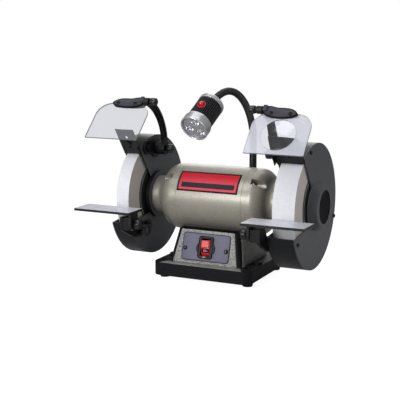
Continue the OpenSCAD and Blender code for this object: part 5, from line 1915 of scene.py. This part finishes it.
@dataclass
class Studio:
    """Pale floor, soft lamps and the camera."""

    camera_at: Vec = (731.8, -1606.2, 455.8)
    azimuth: float = 25.79
    elevation: float = 10.13
    focal_px: float = 950.9
    frame_px: float = 400.0
    sensor_mm: float = 36.0
    floor_glow: float = 0.94
    floor_fade: tuple[float, float] = (450.0, 1100.0)
    ambient: float = 0.3
    aim_height: float = 150.0
    softboxes: tuple[tuple[str, Vec, float, float], ...] = (
        ("key_softbox", (-350, -1380, 520), 420, 9.8),
        ("fill_softbox", (1200, -350, 700), 600, 3.2),
        ("top_softbox", (-100, 600, 1300), 900, 3.4),
        ("high_softbox", (-500, -750, 1300), 600, 5.5),
        ("back_softbox", (-430, 1000, 600), 600, 2.2),
    )

    def build(self) -> None:
        """Make the floor, the world, the lamps and the camera."""
        self._floor()
        self._world()
        for name, place, size, watts in self.softboxes:
            self._lamp(name, place, size, watts)
        self._camera()
        bpy.context.scene.view_settings.view_transform = "Standard"

    @staticmethod
    def _seen(tree: Tree) -> Socket:
        """Tell what the camera sees directly or through clear plastic.

        Args:
            tree: The material's or the world's tree.

        Returns:
            1 where it does, else 0.
        """
        path = add_node(tree, "LightPath").outputs
        rays = {0: path["Is Camera Ray"], 1: path["Is Transmission Ray"]}
        return add_node(tree, "Math", rays, operation="MAXIMUM").outputs[0]

    def _floor(self) -> None:
        """Lay a round pale floor that shows white to the camera but keeps the object's shadow."""
        bpy.ops.object.select_all(action="DESELECT")
        bpy.ops.mesh.primitive_circle_add(vertices=64, radius=4.0, fill_type="NGON", location=(0, 0, -0.0002))
        floor = bpy.context.object
        floor.name = "studio_floor"
        material = bpy.data.materials.new("seamless_paper")
        material.use_nodes = True
        tree = material.node_tree
        tree.nodes.remove(tree.nodes["Principled BSDF"])
        white = linear("#ffffff")
        plain = add_node(tree, "BsdfDiffuse", {"Color": linear("#c4c4c4")}).outputs[0]
        dim = add_node(tree, "BsdfDiffuse", {"Color": linear("#8a8a8a")}).outputs[0]
        glow = add_node(tree, "Emission", {"Color": white, "Strength": self.floor_glow}).outputs[0]
        lit = add_node(tree, "AddShader", {0: dim, 1: glow}).outputs[0]
        seen = self._seen(tree)
        near = add_node(tree, "MixShader", {0: seen, 1: plain, 2: lit}).outputs[0]
        place = add_node(tree, "TexCoord").outputs["Object"]
        reach = add_node(tree, "VectorMath", {0: place}, operation="LENGTH").outputs["Value"]
        fade = {"From Min": self.floor_fade[0] * MM, "From Max": self.floor_fade[1] * MM}
        share = add_node(tree, "MapRange", {"Value": reach, **fade}).outputs["Result"]
        far = add_node(tree, "Math", {0: share, 1: seen}, operation="MULTIPLY").outputs[0]
        blank = add_node(tree, "Emission", {"Color": white, "Strength": 1.0}).outputs[0]
        out = add_node(tree, "MixShader", {0: far, 1: near, 2: blank}).outputs[0]
        tree.links.new(out, tree.nodes["Material Output"].inputs["Surface"])
        floor.data.materials.append(material)

    def _world(self) -> None:
        """Light the set evenly, and show white behind it."""
        world = bpy.data.worlds.new("studio_world")
        world.use_nodes = True
        bpy.context.scene.world = world
        tree = world.node_tree
        tree.nodes.clear()
        white = linear("#ffffff")
        soft = add_node(tree, "Background", {"Color": white, "Strength": self.ambient}).outputs[0]
        plain = add_node(tree, "Background", {"Color": white, "Strength": 1.0}).outputs[0]
        mixed = add_node(tree, "MixShader", {0: self._seen(tree), 1: soft, 2: plain}).outputs[0]
        add_node(tree, "OutputWorld", {"Surface": mixed})

    def _lamp(self, name: str, place: Vec, size: float, watts: float) -> None:
        """Add a square softbox that looks at the middle of the machine.

        Args:
            name: The lamp's name.
            place: Where it stands.
            size: Its width.
            watts: Its power.
        """
        data = bpy.data.lights.new(name, "AREA")
        data.size = size * MM
        data.energy = watts
        lamp = bpy.data.objects.new(name, data)
        bpy.context.scene.collection.objects.link(lamp)
        lamp.location = Vector(place) * MM
        way = Vector((0, 0, self.aim_height)) - Vector(place)
        lamp.rotation_euler = way.to_track_quat("-Z", "Y").to_euler()

    def _camera(self) -> None:
        """Set the camera at its place, turned by azimuth and elevation."""
        data = bpy.data.cameras.new("studio_camera")
        data.sensor_width = self.sensor_mm
        data.lens = self.focal_px / self.frame_px * self.sensor_mm
        camera = bpy.data.objects.new("studio_camera", data)
        bpy.context.scene.collection.objects.link(camera)
        a, e = math.radians(self.azimuth), math.radians(self.elevation)
        forward = Vector((-math.sin(a) * math.cos(e), math.cos(a) * math.cos(e), -math.sin(e)))
        camera.location = Vector(self.camera_at) * MM
        camera.rotation_euler = forward.to_track_quat("-Z", "Y").to_euler()
        bpy.context.scene.camera = camera


def main() -> None:
    """Build every sub-assembly in order."""
    logging.basicConfig(level=logging.INFO, format="%(name)s: %(message)s")
    Studio().build()
    dress_construction()
    parts = (
        Pedestal(), SwitchPlate(), PowerSwitch(), MotorLabel(), Screws(), HubCaps(), LockKnobs(),
        ShieldClamps(), Magnifier(), Gooseneck(), WorkLamp(),
    )
    for part in parts:
        LOG.info("building %s", type(part).__name__)
        part.build()


if __name__ == "__main__":
    main()
